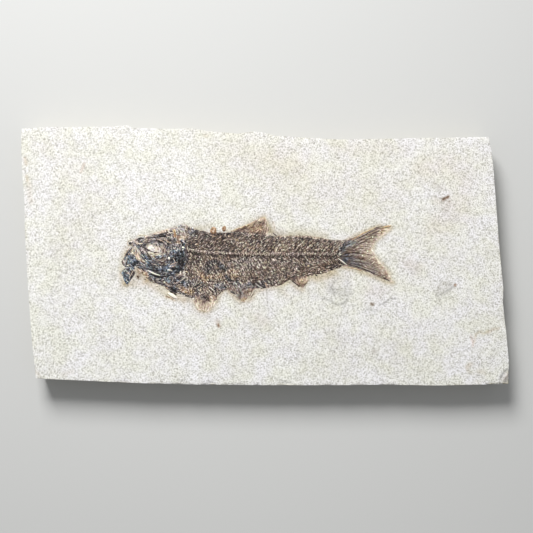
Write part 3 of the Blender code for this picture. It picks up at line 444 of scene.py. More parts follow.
    (0.2, 0.62, 0, 0.95, [(34.4, 6.9), (36.7, 8.4), (39.0, 9.8), (41.4, 10.9), (44.0, 12.2)]),
    (0.31, 0.62, 0, 0.9, [(46.8, 12.3), (48.4, 12.6), (50.2, 13.0)]),
    (0.24, 0.2, 0, 0.2, [(30.4, 1.0), (32.2, 1.7), (34.0, 2.1), (35.8, 2.0), (37.8, 2.3)]),
    (0.2, 0.18, 0, 0.2, [(30.8, 0.3), (32.8, 0.5), (34.8, 0.7)]),
    (0.16, 0.25, 0, 0.1, [(31.9, 3.1), (33.9, 3.3), (35.5, 3.1)]),
    (0.28, 0.24, 0, 0.25, [(36.8, 0.0), (38.2, -0.3), (39.7, -0.4)]),
    (0.22, 0.15, 0, 0.2, [(38.0, 1.7), (38.5, 1.3)]),
    (0.25, 1, 0, 0.15, [(38.6, 0.6), (39.2, 0.9)]),
    (0.3, 1.1, 0, 0, [(40.7, 2.7), (41.1, 2.4)]),
    (0.2, 0.22, 0.35, 0, [(31.6, -2.2), (33.2, -2.6), (35.1, -3.1), (37.2, -3.6), (39.7, -4.5),
     (42.1, -5.5), (44.5, -6.4), (46.7, -7.2)]),
    (0.14, 0.85, 0, 0.05, [(41.9, -5.4), (43.7, -6.1), (45.7, -6.7)]),
    (0.24, 0.68, 0, 0.6, [(32.7, -3.7), (34.4, -4.1), (36.9, -4.6), (38.9, -5.3)]),
    (0.16, 0.85, 0, 0.3, [(41.4, -1.2), (42.5, 0.0)]),
    (0.16, 0.85, 0, 0.3, [(42.8, -2.4), (43.9, -1.4)]),
    (0.48, 0, 0.1, 0, [(-54.5, 4.1), (-53.6, 4.7)]),
    (0.2, 0.9, 0.1, 0, [(-55.2, -4.4), (-54.3, -4.7)]),
    (0.22, 0.1, 0.6, 0, [(-55.2, -1.6), (-54.3, -2.0)]),
    (0.18, 0.5, 0, 0.3, [(-54.8, 0.3), (-54.2, -0.3)]),
    (0.18, 0.12, 0.4, 0, [(-53.9, -0.9), (-53.3, -1.2)]),
    (0.2, 0.85, 0, 0, [(-55.4, -10.1), (-55.1, -10.7)]),
    (0.2, 0.1, 0.2, 0, [(-55.1, -6.0), (-54.2, -6.1)]),
    (0.28, 0.7, 0.2, 0, [(-48.3, 5.9), (-48.0, 4.9)]),
    (0.24, 0.08, 0, 0.1, [(-49.2, 1.5), (-48.8, 1.0)]),
    (0.2, 0.15, 0.1, 0, [(-50.2, 2.8), (-49.9, 1.8), (-49.6, 0.6)]),
    (0.2, 0.92, 0.5, 0, [(-48.0, -1.9), (-47.4, -2.3), (-46.7, -2.5)]),
    (0.18, 0.4, 0.8, 0, [(-43.3, -0.7), (-42.2, -0.7)]),
    (0.18, 0.65, 0, 0.6, [(-45.3, -0.5), (-44.1, -0.8)]),
    (0.16, 0.7, 0, 0, [(-41.8, 3.4), (-41.0, 2.1), (-41.3, 0.7)]),
    (0.2, 0.75, 0, 0.05, [(-41.5, -0.1), (-40.6, 0.6)]),
    (0.4, 0, 0.5, 0, [(-37.5, -1.1), (-37.0, -2.1)]),
    (0.4, 0, 0.5, 0, [(-36.2, -0.9), (-35.4, -1.9)]),
    (0.32, 0, 0.5, 0, [(-34.0, -3.0), (-33.1, -4.5)]),
    (0.32, 0.02, 0.4, 0, [(-33.8, -4.2), (-33.3, -5.9)]),
    (0.28, 0.75, 0.7, 0, [(-35.9, 1.9), (-35.1, 1.5)]),
    (0.28, 0.62, 0.75, 0, [(-34.2, 0.5), (-33.5, 0.2)]),
    (0.2, 0.75, 0, 0.1, [(-36.7, 2.9), (-36.0, 2.3)]),
    (0.2, 0.72, 0, 0.1, [(-37.8, -3.9), (-36.4, -3.4), (-35.2, -2.9)]),
    (0.18, 0.6, 0, 0.1, [(-37.4, -4.8), (-35.8, -4.5)]),
    (0.28, 0.95, 0, 0.1, [(-33.7, -6.4), (-33.7, -8.0)]),
    (0.36, 0.08, 0.2, 0, [(-34.6, -9.5), (-32.9, -8.5)]),
    (0.24, 1.0, 0, 0.05, [(-38.7, -6.0), (-37.5, -6.1)]),
    (0.44, 0.55, 0.85, 0, [(-40.0, -5.6), (-39.2, -6.3)]),
    (0.2, 0.85, 0.6, 0, [(-41.9, -4.6), (-41.3, -5.4)]),
    (0.2, 0.85, 0.6, 0, [(-42.7, -5.1), (-42.1, -5.8)]),
    (0.16, 0.75, 0.1, 0, [(-37.0, -1.1), (-36.3, -2.0), (-35.8, -3.0)]),
    (0.22, 0.8, 0.4, 0, [(-42.9, -9.9), (-42.0, -9.8)]),
    (0.2, 0.8, 0.3, 0, [(-41.2, -10.1), (-40.3, -9.8)]),
    (0.28, 0.98, 0, 0.2, [(-40.3, -10.9), (-39.7, -11.0)]),
    (0.2, 0.3, 0, 0.35, [(-39.6, -10.9), (-38.7, -11.1)]),
    (0.36, 0.55, 0.75, 0, [(-39.8, -9.4), (-39.2, -10.3)]),
    (0.32, 0, 0.3, 0, [(-36.5, -10.2), (-35.5, -10.6)]),
    (0.24, 0.05, 0.2, 0, [(-37.9, -11.8), (-36.4, -11.8)]),
    (0.18, 0.55, 0, 0.35, [(-39.6, -16.5), (-37.9, -17.0), (-36.3, -17.8)]),
    (0.18, 0.7, 0, 0.5, [(-39.4, -13.1), (-38.5, -13.5)]),
    (0.28, 0.04, 0.1, 0, [(-33.2, -14.8), (-31.9, -15.4)]),
    (0.28, 0.85, 0, 0.3, [(-43.5, -12.3), (-42.6, -12.3)]),
    (0.2, 0.25, 0.1, 0.2, [(-49.1, -7.0), (-48.5, -7.5)]),
    (0.2, 0.35, 0.1, 0.1, [(-48.3, -9.7), (-47.6, -9.9)]),
    (0.32, 0.7, 0, 0.9, [(-32.0, -14.7), (-31.0, -15.0)]),
    (0.28, 0.8, 0, 0.8, [(-29.6, -14.9), (-28.8, -15.2)]),
    (0.24, 0.16, 0, 0.5, [(-30.2, -13.7), (-29.7, -14.3)]),
    (0.28, 0.4, 0.7, 0, [(-31.3, -11.6), (-30.4, -12.2)]),
    (0.24, 0.72, 0, 0.5, [(-34.4, -13.0), (-33.6, -13.6)]),
    (0.28, 0.5, 0, 0.7, [(-28.7, -8.5), (-28.5, -9.3)]),
    (0.3, 0.75, 0, 0.5, [(-21.7, -8.4), (-21.2, -9.5)]),
    (0.24, 0.9, 0, 0.2, [(-23.5, -10.4), (-23.1, -10.5)]),
    (0.32, 0.85, 0, 0.1, [(-26.1, -4.1), (-25.0, -4.2)]),
    (0.28, 0.72, 0, 0.55, [(-31.4, -6.3), (-30.9, -7.0)]),
    (0.2, 0.75, 0, 0.1, [(-30.0, 1.1), (-29.4, -0.6)]),
    (0.28, 0.7, 0.3, 0, [(-27.9, 7.8), (-27.1, 7.5)]),
    (0.28, 0.68, 0, 0.45, [(-28.1, 4.3), (-27.0, 4.4)]),
    (0.24, 0.16, 0, 0.3, [(-21.9, 3.4), (-20.9, 3.8)]),
    (0.24, 0.85, 0, 0.5, [(-25.6, -13.4), (-25.5, -14.5)]),
    (0.48, 0.12, 0.1, 0, [(-23.6, -2.6), (-22.8, -3.8)]),
    (0.44, 0.1, 0.3, -0.2, [(-15.8, 8.6), (-14.0, 9.1)]),
    (0.24, 0.8, 0.1, 0, [(-16.4, 8.3), (-15.8, 8.2)]),
    (0.28, 0.8, 0, 0.5, [(-14.9, 8.1), (-14.5, 7.4)]),
    (0.24, 0.75, 0, 0.4, [(-7.7, 5.5), (-7.5, 4.7)]),
    (0.24, 0.7, 0.2, 0, [(-13.6, 5.9), (-13.1, 4.9)]),
    (0.24, 0.92, 0, 0.05, [(7.4, 7.9), (8.0, 7.8)]),
    (0.22, 0.85, 0, 0, [(0.6, 8.5), (1.2, 8.3)]),
    (0.22, 0.9, 0, 0, [(1.8, 9.0), (2.2, 8.8)]),
    (0.2, 0.25, 0.1, 0, [(2.9, 9.5), (3.8, 8.8), (4.7, 8.0)]),
    (0.2, 0.3, 0, 0, [(-8.2, 12.2), (-7.8, 11.8)]),
    (0.18, 0.3, 0, 0.2, [(-5.9, 11.4), (-4.8, 12.1), (-3.4, 12.9)]),
    (0.24, 0.28, 0, 0.1, [(-3.0, 13.8), (-1.4, 13.4)]),
    (0.28, 0.68, 0, 0.8, [(-2.1, 10.8), (-1.2, 10.3)]),
    (0.18, 0.6, 0, 0.5, [(-5.4, 10.5), (-4.2, 9.5)]),
    (0.2, 0.15, 0, 0.1, [(-3.3, 9.8), (-2.7, 9.3)]),
    (0.18, 0.55, 0, 0.45, [(-4.8, 10.7), (-3.5, 11.3)]),
    (0.18, 0.75, 0, 0.05, [(0.0, 14.7), (0.1, 12.1), (0.1, 10.5)]),
    (0.3, 0.92, 0, 0.15, [(12.8, -4.3), (12.5, -5.1)]),
    (0.28, 0.85, 0, 0.1, [(22.2, -5.8), (22.7, -6.5)]),
    (0.24, 0.3, 0.3, 0, [(20.1, -7.1), (21.1, -7.4)]),
    (0.32, 0.9, 0, 0, [(4.3, -11.2), (5.0, -11.6)]),
    (0.2, 0.8, 0, 0.1, [(5.6, -9.8), (6.1, -9.9)]),
    (0.36, 0.22, 0.05, 0.1, [(-24.3, -17.6), (-24.1, -18.9)]),
    (0.2, 0.22, 0, 0.1, [(-22.3, -16.4), (-22.6, -18.2)]),
    (0.24, 0.35, 0, 0.3, [(-22.2, -18.3), (-21.1, -17.9)]),
    (0.16, 0.7, 0, 0.4, [(-27.3, -21.5), (-25.9, -21.7), (-24.9, -22.1)]),
    (0.24, 0.24, 0.6, 0, [(-13.7, -14.1), (-12.4, -14.8), (-11.6, -15.3)]),
    (0.24, 0.4, 0, 0.45, [(-7.0, -13.8), (-6.0, -14.6)]),
    (0.24, 0.42, 0, 0.45, [(-6.4, -15.3), (-5.5, -15.8)]),
    (0.2, 0.62, 0, 0.4, [(-9.1, -18.1), (-7.6, -18.2)]),
    (0.2, 0.75, 0, 0, [(-11.1, -14.4), (-10.4, -15.2)]),
    (0.2, 0.14, 0, 0.18, [(8.8, 1.7), (11.1, 3.6), (13.2, 5.8)]),
    (0.2, 0.6, 0, 0.1, [(10.6, 1.9), (13.4, 4.2), (15.9, 6.9)]),
    (0.2, 0.12, 0, 0.18, [(12.1, 2.1), (15.1, 4.5), (17.8, 7.4)]),
    (0.2, 0.16, 0, 0.18, [(13.6, 1.7), (16.5, 4.2), (19.2, 7.0)]),
    (0.2, 0.58, 0, 0.1, [(15.0, 2.0), (17.4, 4.0), (19.7, 6.4)]),
    (0.2, 0.14, 0, 0.18, [(16.3, 2.4), (18.7, 4.3), (20.8, 6.5)]),
    (0.2, 0.2, 0, 0.18, [(18.7, 4.4), (20.2, 5.6), (21.6, 7.1)]),
    (0.2, 0.55, 0, 0.1, [(22.8, 2.1), (24.6, 3.6), (26.2, 5.3)]),
    (0.2, 0.16, 0, 0.18, [(24.5, 2.3), (26.0, 3.5), (27.4, 4.9)]),
    (0.2, 0.55, 0, 0.1, [(7.1, 2.2), (9.1, 3.9), (10.9, 5.8)]),
    (0.2, 0.14, 0, 0.18, [(1.1, 3.4), (3.1, 5.0), (4.9, 6.9)]),
    (0.2, 0.55, 0, 0.1, [(-1.7, 2.9), (0.5, 4.7), (2.4, 6.7)]),
    (0.2, 0.16, 0, 0.18, [(3.5, 3.8), (5.0, 5.0), (6.4, 6.4)]),
    # Short near-black strokes just under the backbone: painted shadow beneath the vertebrae
    (0.24, 0.02, 0.05, 0.1, [(9.4, 0.8), (10.5, -0.1)]),
    (0.24, 0.02, 0.05, 0.1, [(13.0, 0.0), (14.1, -0.6)]),
    (0.24, 0.02, 0.05, 0.1, [(14.8, 0.4), (16.1, -0.6)]),
    (0.24, 0.02, 0.05, 0.1, [(18.0, 0.4), (19.6, -0.4)]),
    (0.24, 0.02, 0.05, 0.1, [(23.1, 0.7), (24.9, -0.1)]),
    (0.24, 0.02, 0.05, 0.1, [(4.4, -0.8), (7.0, -1.4)]),
    (0.24, 0.02, 0.05, 0.1, [(-11.5, 0.1), (-10.7, -0.3)]),
    (0.24, 0.02, 0.05, 0.1, [(-8.2, 0.2), (-7.1, -0.3)]),
    (0.24, 0.02, 0.05, 0.1, [(-7.0, 0.4), (-6.0, -0.6)]),
    (0.22, 0.05, 0, 0.1, [(18.5, 3.0), (20.3, 2.1), (22.1, 2.3), (23.5, 3.5)]),
    (0.2, 0.7, 0, 0.1, [(19.3, 3.2), (20.7, 2.8), (22.1, 3.3), (22.9, 4.3)]),
    (0.2, 0.75, 0, 0.1, [(12.0, -0.7), (13.2, -1.5), (13.9, -2.7)]),
    (0.4, 0.66, 0, 1.1, [(17.2, -3.4), (17.7, -3.7)]),
    (0.2, 0.3, 0.2, 0, [(46.9, -7.4), (48.5, -8.3), (50.0, -9.1)]),
    (0.24, 0.4, 0.6, 0, [(34.5, 0.5), (34.8, -0.9)]),
    (0.22, 0.2, 0.3, 0, [(31.8, 4.6), (32.9, 5.4), (34.1, 5.8)]),
    (0.2, 0.75, 0, 0.05, [(44.5, -1.8), (45.6, -2.5)]),
    (0.2, 0.75, 0, 0.05, [(47.0, -1.7), (47.9, -2.6)]),
]

# Marks on the stone's face, stains and lines of painted shadow: half width, ochre, rust, grey, points
STONE_MARKS = [
    # iron spot and its stain
    (0.48, 0.2, 0.7, 0.85, [(71.0, 23.9), (72.9, 24.9)]),
    (0.36, 0.1, 0.2, 0.5, [(73.4, 23.0)]),
    (1.04, 0.06, 0.04, 0.16, [(67.5, 29.5), (70.4, 28.4)]),
    (0.88, 0.08, 0, 0.14, [(70.9, 20.4), (71.9, 19.0)]),
    (1.8, 0.06, 0.06, 0.05, [(68.4, 23.6), (72.9, 22.0)]),
    (5.2, 0, 0.09, 0, [(63.1, 35.5), (72.6, 38.0), (79.6, 29.3), (76.9, 18.9), (68.2, 14.0)]),
    # broad tints of the face
    (10.4, 0.09, 0, 0, [(-13.9, 42.3), (13.5, 31.5), (42.4, 24.8)]),
    (5.2, 0, 0.06, 0, [(0.6, 39.4), (13.4, 36.7)]),
    (4.8, 0.05, 0.03, 0, [(29.3, 43.8), (53.3, 43.3)]),
    (6.4, 0, 0.025, 0.015, [(-82.6, 37.3), (-68.3, 21.5), (-78.0, 1.4)]),
    (3.6, 0.03, 0.02, 0, [(-92.3, 43.2), (-89.8, 41.2)]),
    (4.8, 0.04, 0, 0, [(-53.5, -36.3), (-41.5, -38.1)]),
    (8.8, 0.04, 0, 0.03, [(26.5, -33.1), (54.5, -36.7)]),
    # specks
    (0.44, 0, 1.0, 0.6, [(76.2, -10.3)]),
    (0.44, 0.4, 0.4, 0.9, [(42.7, -18.2), (43.5, -18.7)]),
    (0.88, 0, 0.1, 0.35, [(44.3, -37.4)]),
    (0.44, 0.1, 0.75, 0.6, [(-18.4, -27.6), (-17.9, -28.4)]),
    (1.04, 0.1, 0.2, 0.05, [(-18.8, -26.5)]),
    (0.4, 0.1, 0.1, 0.5, [(12.0, 38.1)]),
    (0.36, 0.2, 0.2, 0.4, [(-18.6, 22.9)]),
    (0.36, 0.1, 0.1, 0.45, [(-82.6, 25.7)]),
    # prints of scales and a stain beyond the tail
    (2.6, 0.03, 0, 0.23, [(27.4, -13.1), (32.2, -13.8)]),
    (0.4, 0, 0, 0.42, [(23.4, -16.5), (26.2, -17.3), (28.7, -19.0), (31.5, -18.4), (33.2, -16.8)]),
    (0.4, 0, 0, 0.2, [(26.2, -13.1), (27.5, -9.9), (30.1, -8.4), (33.3, -9.8)]),
    (0.4, 0, 0.02, 0.16, [(27.4, -12.7), (28.2, -14.6)]),
    (0.36, 0, 0, 0.42, [(45.9, -18.2), (47.5, -18.5), (49.0, -17.1), (50.4, -16.1), (52.6, -16.1)]),
    (0.36, 0, 0, 0.26, [(40.7, -20.5), (42.7, -20.4), (44.5, -22.0)]),
    (3.2, 0, 0.08, 0.02, [(42.2, -13.6), (46.2, -13.2)]),
    (2.8, 0.13, 0.05, 0.04, [(57.6, -2.2), (60.4, -3.8)]),
    (2.0, 0.08, 0, 0.2, [(71.4, -12.4), (73.8, -11.2)]),
    (0.4, 0.1, 0, 0.2, [(68.8, -13.8), (69.9, -10.6), (72.5, -9.4), (74.5, -10.2)]),
    (0.36, 0, 0, 0.32, [(70.2, -14.4), (72.6, -13.0), (75.4, -11.1)]),
    (0.44, 0.06, 0, 0.3, [(68.8, -14.4), (70.6, -17.4)]),
    # ochre strokes near the lower right corner
    (0.44, 0, 0.35, 0, [(82.8, -30.6), (83.6, -32.6), (83.7, -34.6)]),
    (0.52, 0.32, 0, 0.02, [(84.3, -33.0), (84.8, -30.0), (86.4, -28.8), (88.0, -29.6), (89.6, -28.5)]),
    (0.48, 0.1, 0.2, 0, [(89.6, -29.3), (92.0, -27.5), (94.0, -27.5)]),
    (0.96, 0.22, 0.08, 0.02, [(81.4, -43.1), (82.6, -42.0)]),
    (0.96, 0.2, 0, 0, [(86.3, -44.6), (88.5, -45.2)]),
    (0.56, 0.16, 0, 0.02, [(81.9, -44.6), (84.3, -46.0)]),
    (0.8, 0.12, 0, 0.02, [(85.1, -48.6), (86.1, -49.2)]),
    (0.88, 0.14, 0.03, 0, [(95.7, -48.2), (97.5, -45.4)]),
    # painted shadow lines along the flake steps across the lower right corner and along the lower rim
    (0.36, 0, 0, 0.4, [(97.6, -43.4), (96.3, -44.8), (94.9, -46.9)]),
    (0.36, 0, 0, 0.2, [(94.9, -46.9), (94.4, -48.1), (94.2, -49.7)]),
    (0.36, 0.1, 0.1, 0.35, [(98.5, -45.7), (97.5, -46.6), (96.7, -47.8)]),
    (0.36, 0, 0.05, 0.35, [(98.2, -46.8), (97.3, -48.0), (96.5, -49.0)]),
    (0.36, 0, 0, 0.25, [(-22.3, -50.3), (-20.9, -50.5), (-19.3, -51.0)]),
    (0.32, 0, 0, 0.2, [(-15.3, -51.0), (-11.7, -51.0)]),
    (0.32, 0, 0, 0.2, [(-9.7, -50.8), (-6.3, -50.8)]),
    (0.32, 0, 0, 0.25, [(5.1, -49.4), (7.1, -49.5), (10.7, -50.4)]),
    (0.32, 0, 0, 0.2, [(-32.9, -50.1), (-30.3, -50.7)]),
    # ochre along the left rim
    (0.64, 0.25, 0.15, 0, [(-96.6, 37.7), (-96.0, 35.5)]),
    (0.56, 0.3, 0.05, 0, [(-95.9, 30.7), (-95.5, 28.9)]),
    (1.12, 0.12, 0.05, 0, [(-94.8, 27.5), (-94.1, 20.7)]),
    (0.56, 0, 0.3, 0.02, [(-74.1, 32.6), (-72.8, 36.1)]),
    (0.8, 0.14, 0.05, 0, [(-90.5, -48.0), (-89.7, -49.2)]),
    (1.2, 0.1, 0.03, 0, [(-79.7, -48.2), (-76.5, -47.4)]),
    (0.64, 0.12, 0.06, 0, [(-24.7, 48.0), (-23.9, 48.2)]),
    # round the fish
    (1.6, 0.22, 0, 0.06, [(-28.6, 11.1), (-22.2, 11.4)]),
    (1.6, 0.22, 0.06, 0, [(-56.2, -12.5), (-52.3, -11.8), (-47.5, -11.4), (-39.8, -15.3), (-32.2, -18.3)]),
    (1.2, 0.26, 0.06, 0, [(-51.1, -6.2), (-50.5, -9.0), (-47.5, -10.4)]),
    (1.2, 0.1, 0.2, 0.34, [(-50.3, -6.4), (-48.3, -7.6), (-46.3, -8.7)]),
    (0.44, 0, 0.5, 0.7, [(-50.9, -8.7), (-50.5, -9.2)]),
    (1.2, 0.2, 0.02, 0.03, [(-57.4, -1.9), (-56.2, 1.5), (-55.1, 3.3)]),
    (0.96, 0.22, 0.04, 0.02, [(-57.7, -5.7), (-57.7, -9.3), (-56.1, -11.7)]),
    (0.4, 0.2, 0.2, 0.05, [(-39.6, -16.7), (-37.9, -17.1), (-35.9, -18.2)]),
    (1.04, 0.12, 0.08, 0, [(-33.8, -17.4), (-30.6, -18.1), (-27.7, -18.5)]),
    (1.8, 0.2, 0.02, 0.06, [(12.6, 9.5), (23.9, 8.5)]),
    (1.44, 0.2, 0, 0, [(-26.9, -20.7), (-23.7, -21.8), (-20.1, -20.2)]),
    (0.96, 0.16, 0.1, 0, [(-18.9, -18.5), (-18.2, -15.9), (-16.6, -14.3)]),
    (0.8, 0.2, 0.08, 0, [(-14.6, -13.9), (-12.2, -16.4), (-9.8, -18.2)]),
    (1.04, 0.18, 0.1, 0, [(-6.2, -17.6), (-3.4, -14.3), (-1.0, -13.3)]),
    (0.72, 0.2, 0.02, 0.03, [(2.6, -12.8), (6.6, -11.8), (9.3, -10.3)]),
    (0.8, 0.18, 0.06, 0, [(10.5, -10.3), (13.0, -12.5), (15.4, -13.2)]),
    (1.44, 0.3, 0.06, 0, [(16.5, -9.6), (18.5, -8.6), (23.3, -7.9), (28.1, -6.2)]),
    (2.8, 0.12, 0, 0, [(21.3, -9.9), (32.1, -7.4)]),
    (0.88, 0.28, 0.06, 0, [(31.6, -4.0), (36.9, -5.2), (42.5, -7.1), (48.1, -9.4), (51.3, -9.9)]),
    (0.64, 0.24, 0.06, 0, [(32.3, 7.2), (37.0, 9.7), (41.8, 11.7), (45.8, 13.1)]),
    (0.88, 0.22, 0.05, 0, [(50.2, 11.7), (47.1, 8.6), (43.9, 6.4), (43.3, 3.6)]),
    (0.88, 0.2, 0.03, 0, [(44.6, 0.6), (47.6, -2.4), (50.3, -6.3)]),
    (1.04, 0.16, 0.02, 0.03, [(-11.8, 10.8), (-7.8, 12.6), (-4.2, 14.7), (-1.1, 15.9)]),
    (0.64, 0.14, 0.1, 0.02, [(-15.6, 10.1), (-14.2, 9.9)]),
    (1.12, 0, 0, 0.14, [(-52.7, -11.0), (-50.3, -9.4)]),
    (2.8, 0.14, 0, 0.02, [(-3.3, -24.7), (-0.0, -26.3)]),
    (1.6, 0.26, 0, 0.14, [(0.8, 13.8), (2.2, 9.4)]),
    (0.4, 0.05, 0.3, 0, [(3.1, 13.6), (3.7, 11.4)]),
    (0.64, 0.1, 0.1, 0.05, [(5.5, 8.0), (8.3, 7.3)]),
    (1.6, 0.26, 0, 0.1, [(2.2, 9.8), (9.5, 8.5)]),
    (1.2, 0.2, 0.05, 0.02, [(-25.7, -22.0), (-22.5, -21.8)]),
    (0.32, 0.05, 0, 0.22, [(0.9, -12.8), (1.2, -16.2), (1.1, -19.0), (2.1, -21.4)]),
    (1.2, 0.1, 0.04, 0, [(7.4, -13.8), (9.4, -15.7)]),
]


# ---- Fields: smooth random lumps, distances and steps over arrays of places

def grain(x, y, size, seed, stretch=1.0):
    """A smooth random field from -1 to 1 whose lumps are size wide, and stretch times as long in y."""
    table = np.random.default_rng(seed).uniform(-1, 1, (97, 89))
    across, along = x / size, y / (size * stretch)
    i, j = np.floor(across).astype(int), np.floor(along).astype(int)
    s, t = across - i, along - j
    s, t = s * s * (3 - 2 * s), t * t * (3 - 2 * t)
    low = table[i % 97, j % 89] * (1 - s) + table[(i + 1) % 97, j % 89] * s
    high = table[i % 97, (j + 1) % 89] * (1 - s) + table[(i + 1) % 97, (j + 1) % 89] * s
    return low * (1 - t) + high * t


def step(low, high, value):
    """0 below low, 1 above high, and a smooth rise between."""
    share = np.clip((value - low) / (high - low), 0, 1)
    return share * share * (3 - 2 * share)


def edge_distance(x, y, edges):
    """How far each place is from the nearest of some straight edges."""
    nearest = np.full(np.shape(x), np.inf)
    for (ax, ay), (bx, by) in edges:
        dx, dy = bx - ax, by - ay
        share = np.clip(((x - ax) * dx + (y - ay) * dy) / max(dx * dx + dy * dy, 1e-9), 0, 1)
        nearest = np.minimum(nearest, np.hypot(x - ax - share * dx, y - ay - share * dy))
    return nearest


def run_distance(x, y, points):
    """How far each place is from a run of points."""
    return edge_distance(x, y, list(zip(points, points[1:] or points)))


def depth_inside(x, y, loop):
    """How far each place lies inside a closed loop, negative outside."""
    inside = np.zeros(np.shape(x), bool)
    edges = list(zip(loop, loop[1:] + loop[:1]))
    for (ax, ay), (bx, by) in edges:
        if ay != by:
            inside ^= ((ay > y) != (by > y)) & (x < ax + (y - ay) * (bx - ax) / (by - ay))
    nearest = edge_distance(x, y, edges)
    return np.where(inside, nearest, -nearest)


def near(x, y, points, margin):
    """Which places lie in the box round some points, let out by a margin."""
    low, high = np.min(points, axis=0) - margin, np.max(points, axis=0) + margin
    return (x > low[0]) & (x < high[0]) & (y > low[1]) & (y < high[1])


def back_line(x):
    """The y of the backbone over each x."""
    return np.interp(x, [p[0] for p in BACKBONE_LINE], [p[1] for p in BACKBONE_LINE])


def at(curve, share):
    """The point that lies this share of the way along an open curve."""
    spans = [math.dist(a, b) for a, b in zip(curve, curve[1:])]
    ends = np.concatenate([[0], np.cumsum(spans)]) / sum(spans)
    return np.stack([np.interp(share, ends, [p[axis] for p in curve]) for axis in (0, 1)], -1)


def patch(curves, u, v):
    """The place at (u, v) between four curves: base and tip at v 0 and 1, front and rear at u 0 and 1."""
    u, v = np.broadcast_arrays(np.asarray(u, float), np.asarray(v, float))
    base, tip, front, rear = (curves[name] for name in ("base", "tip", "front", "rear"))
    low, high = u[..., None], v[..., None]
    sides = at(base, u) * (1 - high) + at(tip, u) * high + at(front, v) * (1 - low)
    sides += at(rear, v) * low
    ends = (np.array(base[0]) * (1 - low) + np.array(base[-1]) * low) * (1 - high)
    return sides - ends - (np.array(tip[0]) * (1 - low) + np.array(tip[-1]) * low) * high


# ---- Outlines read from the frame

def floor_outline(node):
    """The outline of a CAD node's flat floor, in millimetres."""
    bm = bmesh.new()
    bm.from_mesh(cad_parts[node].data)
    bmesh.ops.remove_doubles(bm, verts=bm.verts, dist=1e-6)
    lowest = min(vertex.co.z for vertex in bm.verts)
    floor = {face for face in bm.faces if all(vertex.co.z - lowest < 2e-6 for vertex in face.verts)}
    follows = {}
    for face in floor:
        for corner in face.loops:
            if sum(other in floor for other in corner.edge.link_faces) == 1:
                follows[corner.vert.index] = corner.link_loop_next.vert.index
    bm.verts.ensure_lookup_table()
    start = here = min(follows)
    loop = []
    while True:
        loop.append(tuple(bm.verts[here].co.xy / MM))
        here = follows[here]
        if here == start:
            break
    bm.free()
    return loop


def free_edges(node):
    """The edges of a bone's outline that meet bare stone and not another bone."""
    loop = OUTLINES[node]
    edges = list(zip(loop, loop[1:] + loop[:1]))
    x, y = (np.array([(a[axis] + b[axis]) / 2 for a, b in edges]) for axis in (0, 1))
    clear = [depth_inside(x, y, OUTLINES[other]) < -0.55 for other in BONES if other != node]
    return [edge for edge, is_free in zip(edges, np.all(clear, axis=0)) if is_free]


def shifted_outline(node):
    """A bone's outline in short steps, moved by the edge shifts."""
    loop = floor_outline(node)
    spans = [max(round(math.dist(a, b) / 0.8), 1) for a, b in zip(loop, loop[1:] + loop[:1])]
    points = np.concatenate([np.linspace(a, b, span, endpoint=False)
                             for a, b, span in zip(loop, loop[1:] + loop[:1], spans)])
    moved = points.copy()
    for x, y, reach, dx, dy in EDGE_SHIFTS:
        away = np.hypot(points[:, 0] - x, points[:, 1] - y) / reach
        moved += np.clip(1 - away ** 2, 0, 1)[:, None] ** 2 * (dx, dy)
    return [tuple(point) for point in moved]


OUTLINES = {node: shifted_outline(node) for node in BONES}
FREE_EDGES = [edge for node in BONES for edge in free_edges(node)]


def fish_depth(x, y, reach=12.0):
    """How far each place lies inside the fish as a whole, negative outside, and -reach far from it."""
    depth = np.full(np.shape(x), -reach)
    for node in BONES:
        here = near(x, y, OUTLINES[node], reach)
        if here.any():
            depth[here] = np.maximum(depth[here], depth_inside(x[here], y[here], OUTLINES[node]))
    return depth


# ---- The film of bone, its colours, and the way its grain lies

TINTS = ("tone", "blue", "tan")
EDGE_OVERHANG = 0.28
HEAD_END_X = -31.5
# How far back the fine bones above the backbone lean for each millimetre up, and how much those of the
# rear belly turn from the body's length
BACK_LEAN = 1.25
BELLY_TURN = 0.38


def film(x, y):
    """The film that all the bones share: how far each place is inside the fish's ragged edge, and the
    film's height there."""
    inside = fish_depth(x, y) > -0.2
    free = edge_distance(x, y, FREE_EDGES)
    free = np.where(inside, free, -free) + EDGE_OVERHANG
    free += 0.3 * grain(x, y, 1.3, 11) + 0.25 * grain(x, y, 0.55, 12)
    height = -0.26 + 0.28 * step(-0.6, 0.5, free) + 0.26 * (1 - np.exp(-np.maximum(free, 0) / 2.6))
    return free, height


def belly_lean(x):
    """How far back the fine bones below the backbone lean for each millimetre down."""
    return 0.4 + 0.6 * step(-18, 14, x)


def is_rear_belly(x, away):
    """Which places are in the strip of the rear belly where the bones lie along the edge."""
    return (x > 8) & (away < -3.4 - 0.11 * (28 - x))


def flow(x, y):
    """Distances across and along the grain of the bones at each place."""
    away = y - back_line(x)
    reach = np.abs(away)
    lean = np.where(away > 0, BACK_LEAN, belly_lean(x))
    across, along = x - reach * lean, reach * np.hypot(1, lean) * np.where(away > 0, 1.0, 1.5)
    is_turned = is_rear_belly(x, away)
    run, rise = math.cos(BELLY_TURN), math.sin(BELLY_TURN)
    across = np.where(is_turned, run * y - rise * x, across)
    along = np.where(is_turned, run * x + rise * y, along)
    radius = np.hypot(x - EYE[0], y - EYE[1])
    turn = np.arctan2(y - EYE[1], x - EYE[0])
    is_head = x < HEAD_END_X
    return np.where(is_head, radius, across), np.where(is_head, turn * np.maximum(radius, 2), along)


def grain_angle(x, y):
    """The angle from the body's length at which the fine bones lie at each place."""
    away = y - back_line(x)
    angle = np.where(away > 0, math.atan2(1, BACK_LEAN), -np.arctan2(1, belly_lean(x)))
    angle = np.where(is_rear_belly(x, away), BELLY_TURN, angle)
    return np.where(x < HEAD_END_X, np.arctan2(y - EYE[1], x - EYE[0]) + math.pi / 2, angle)


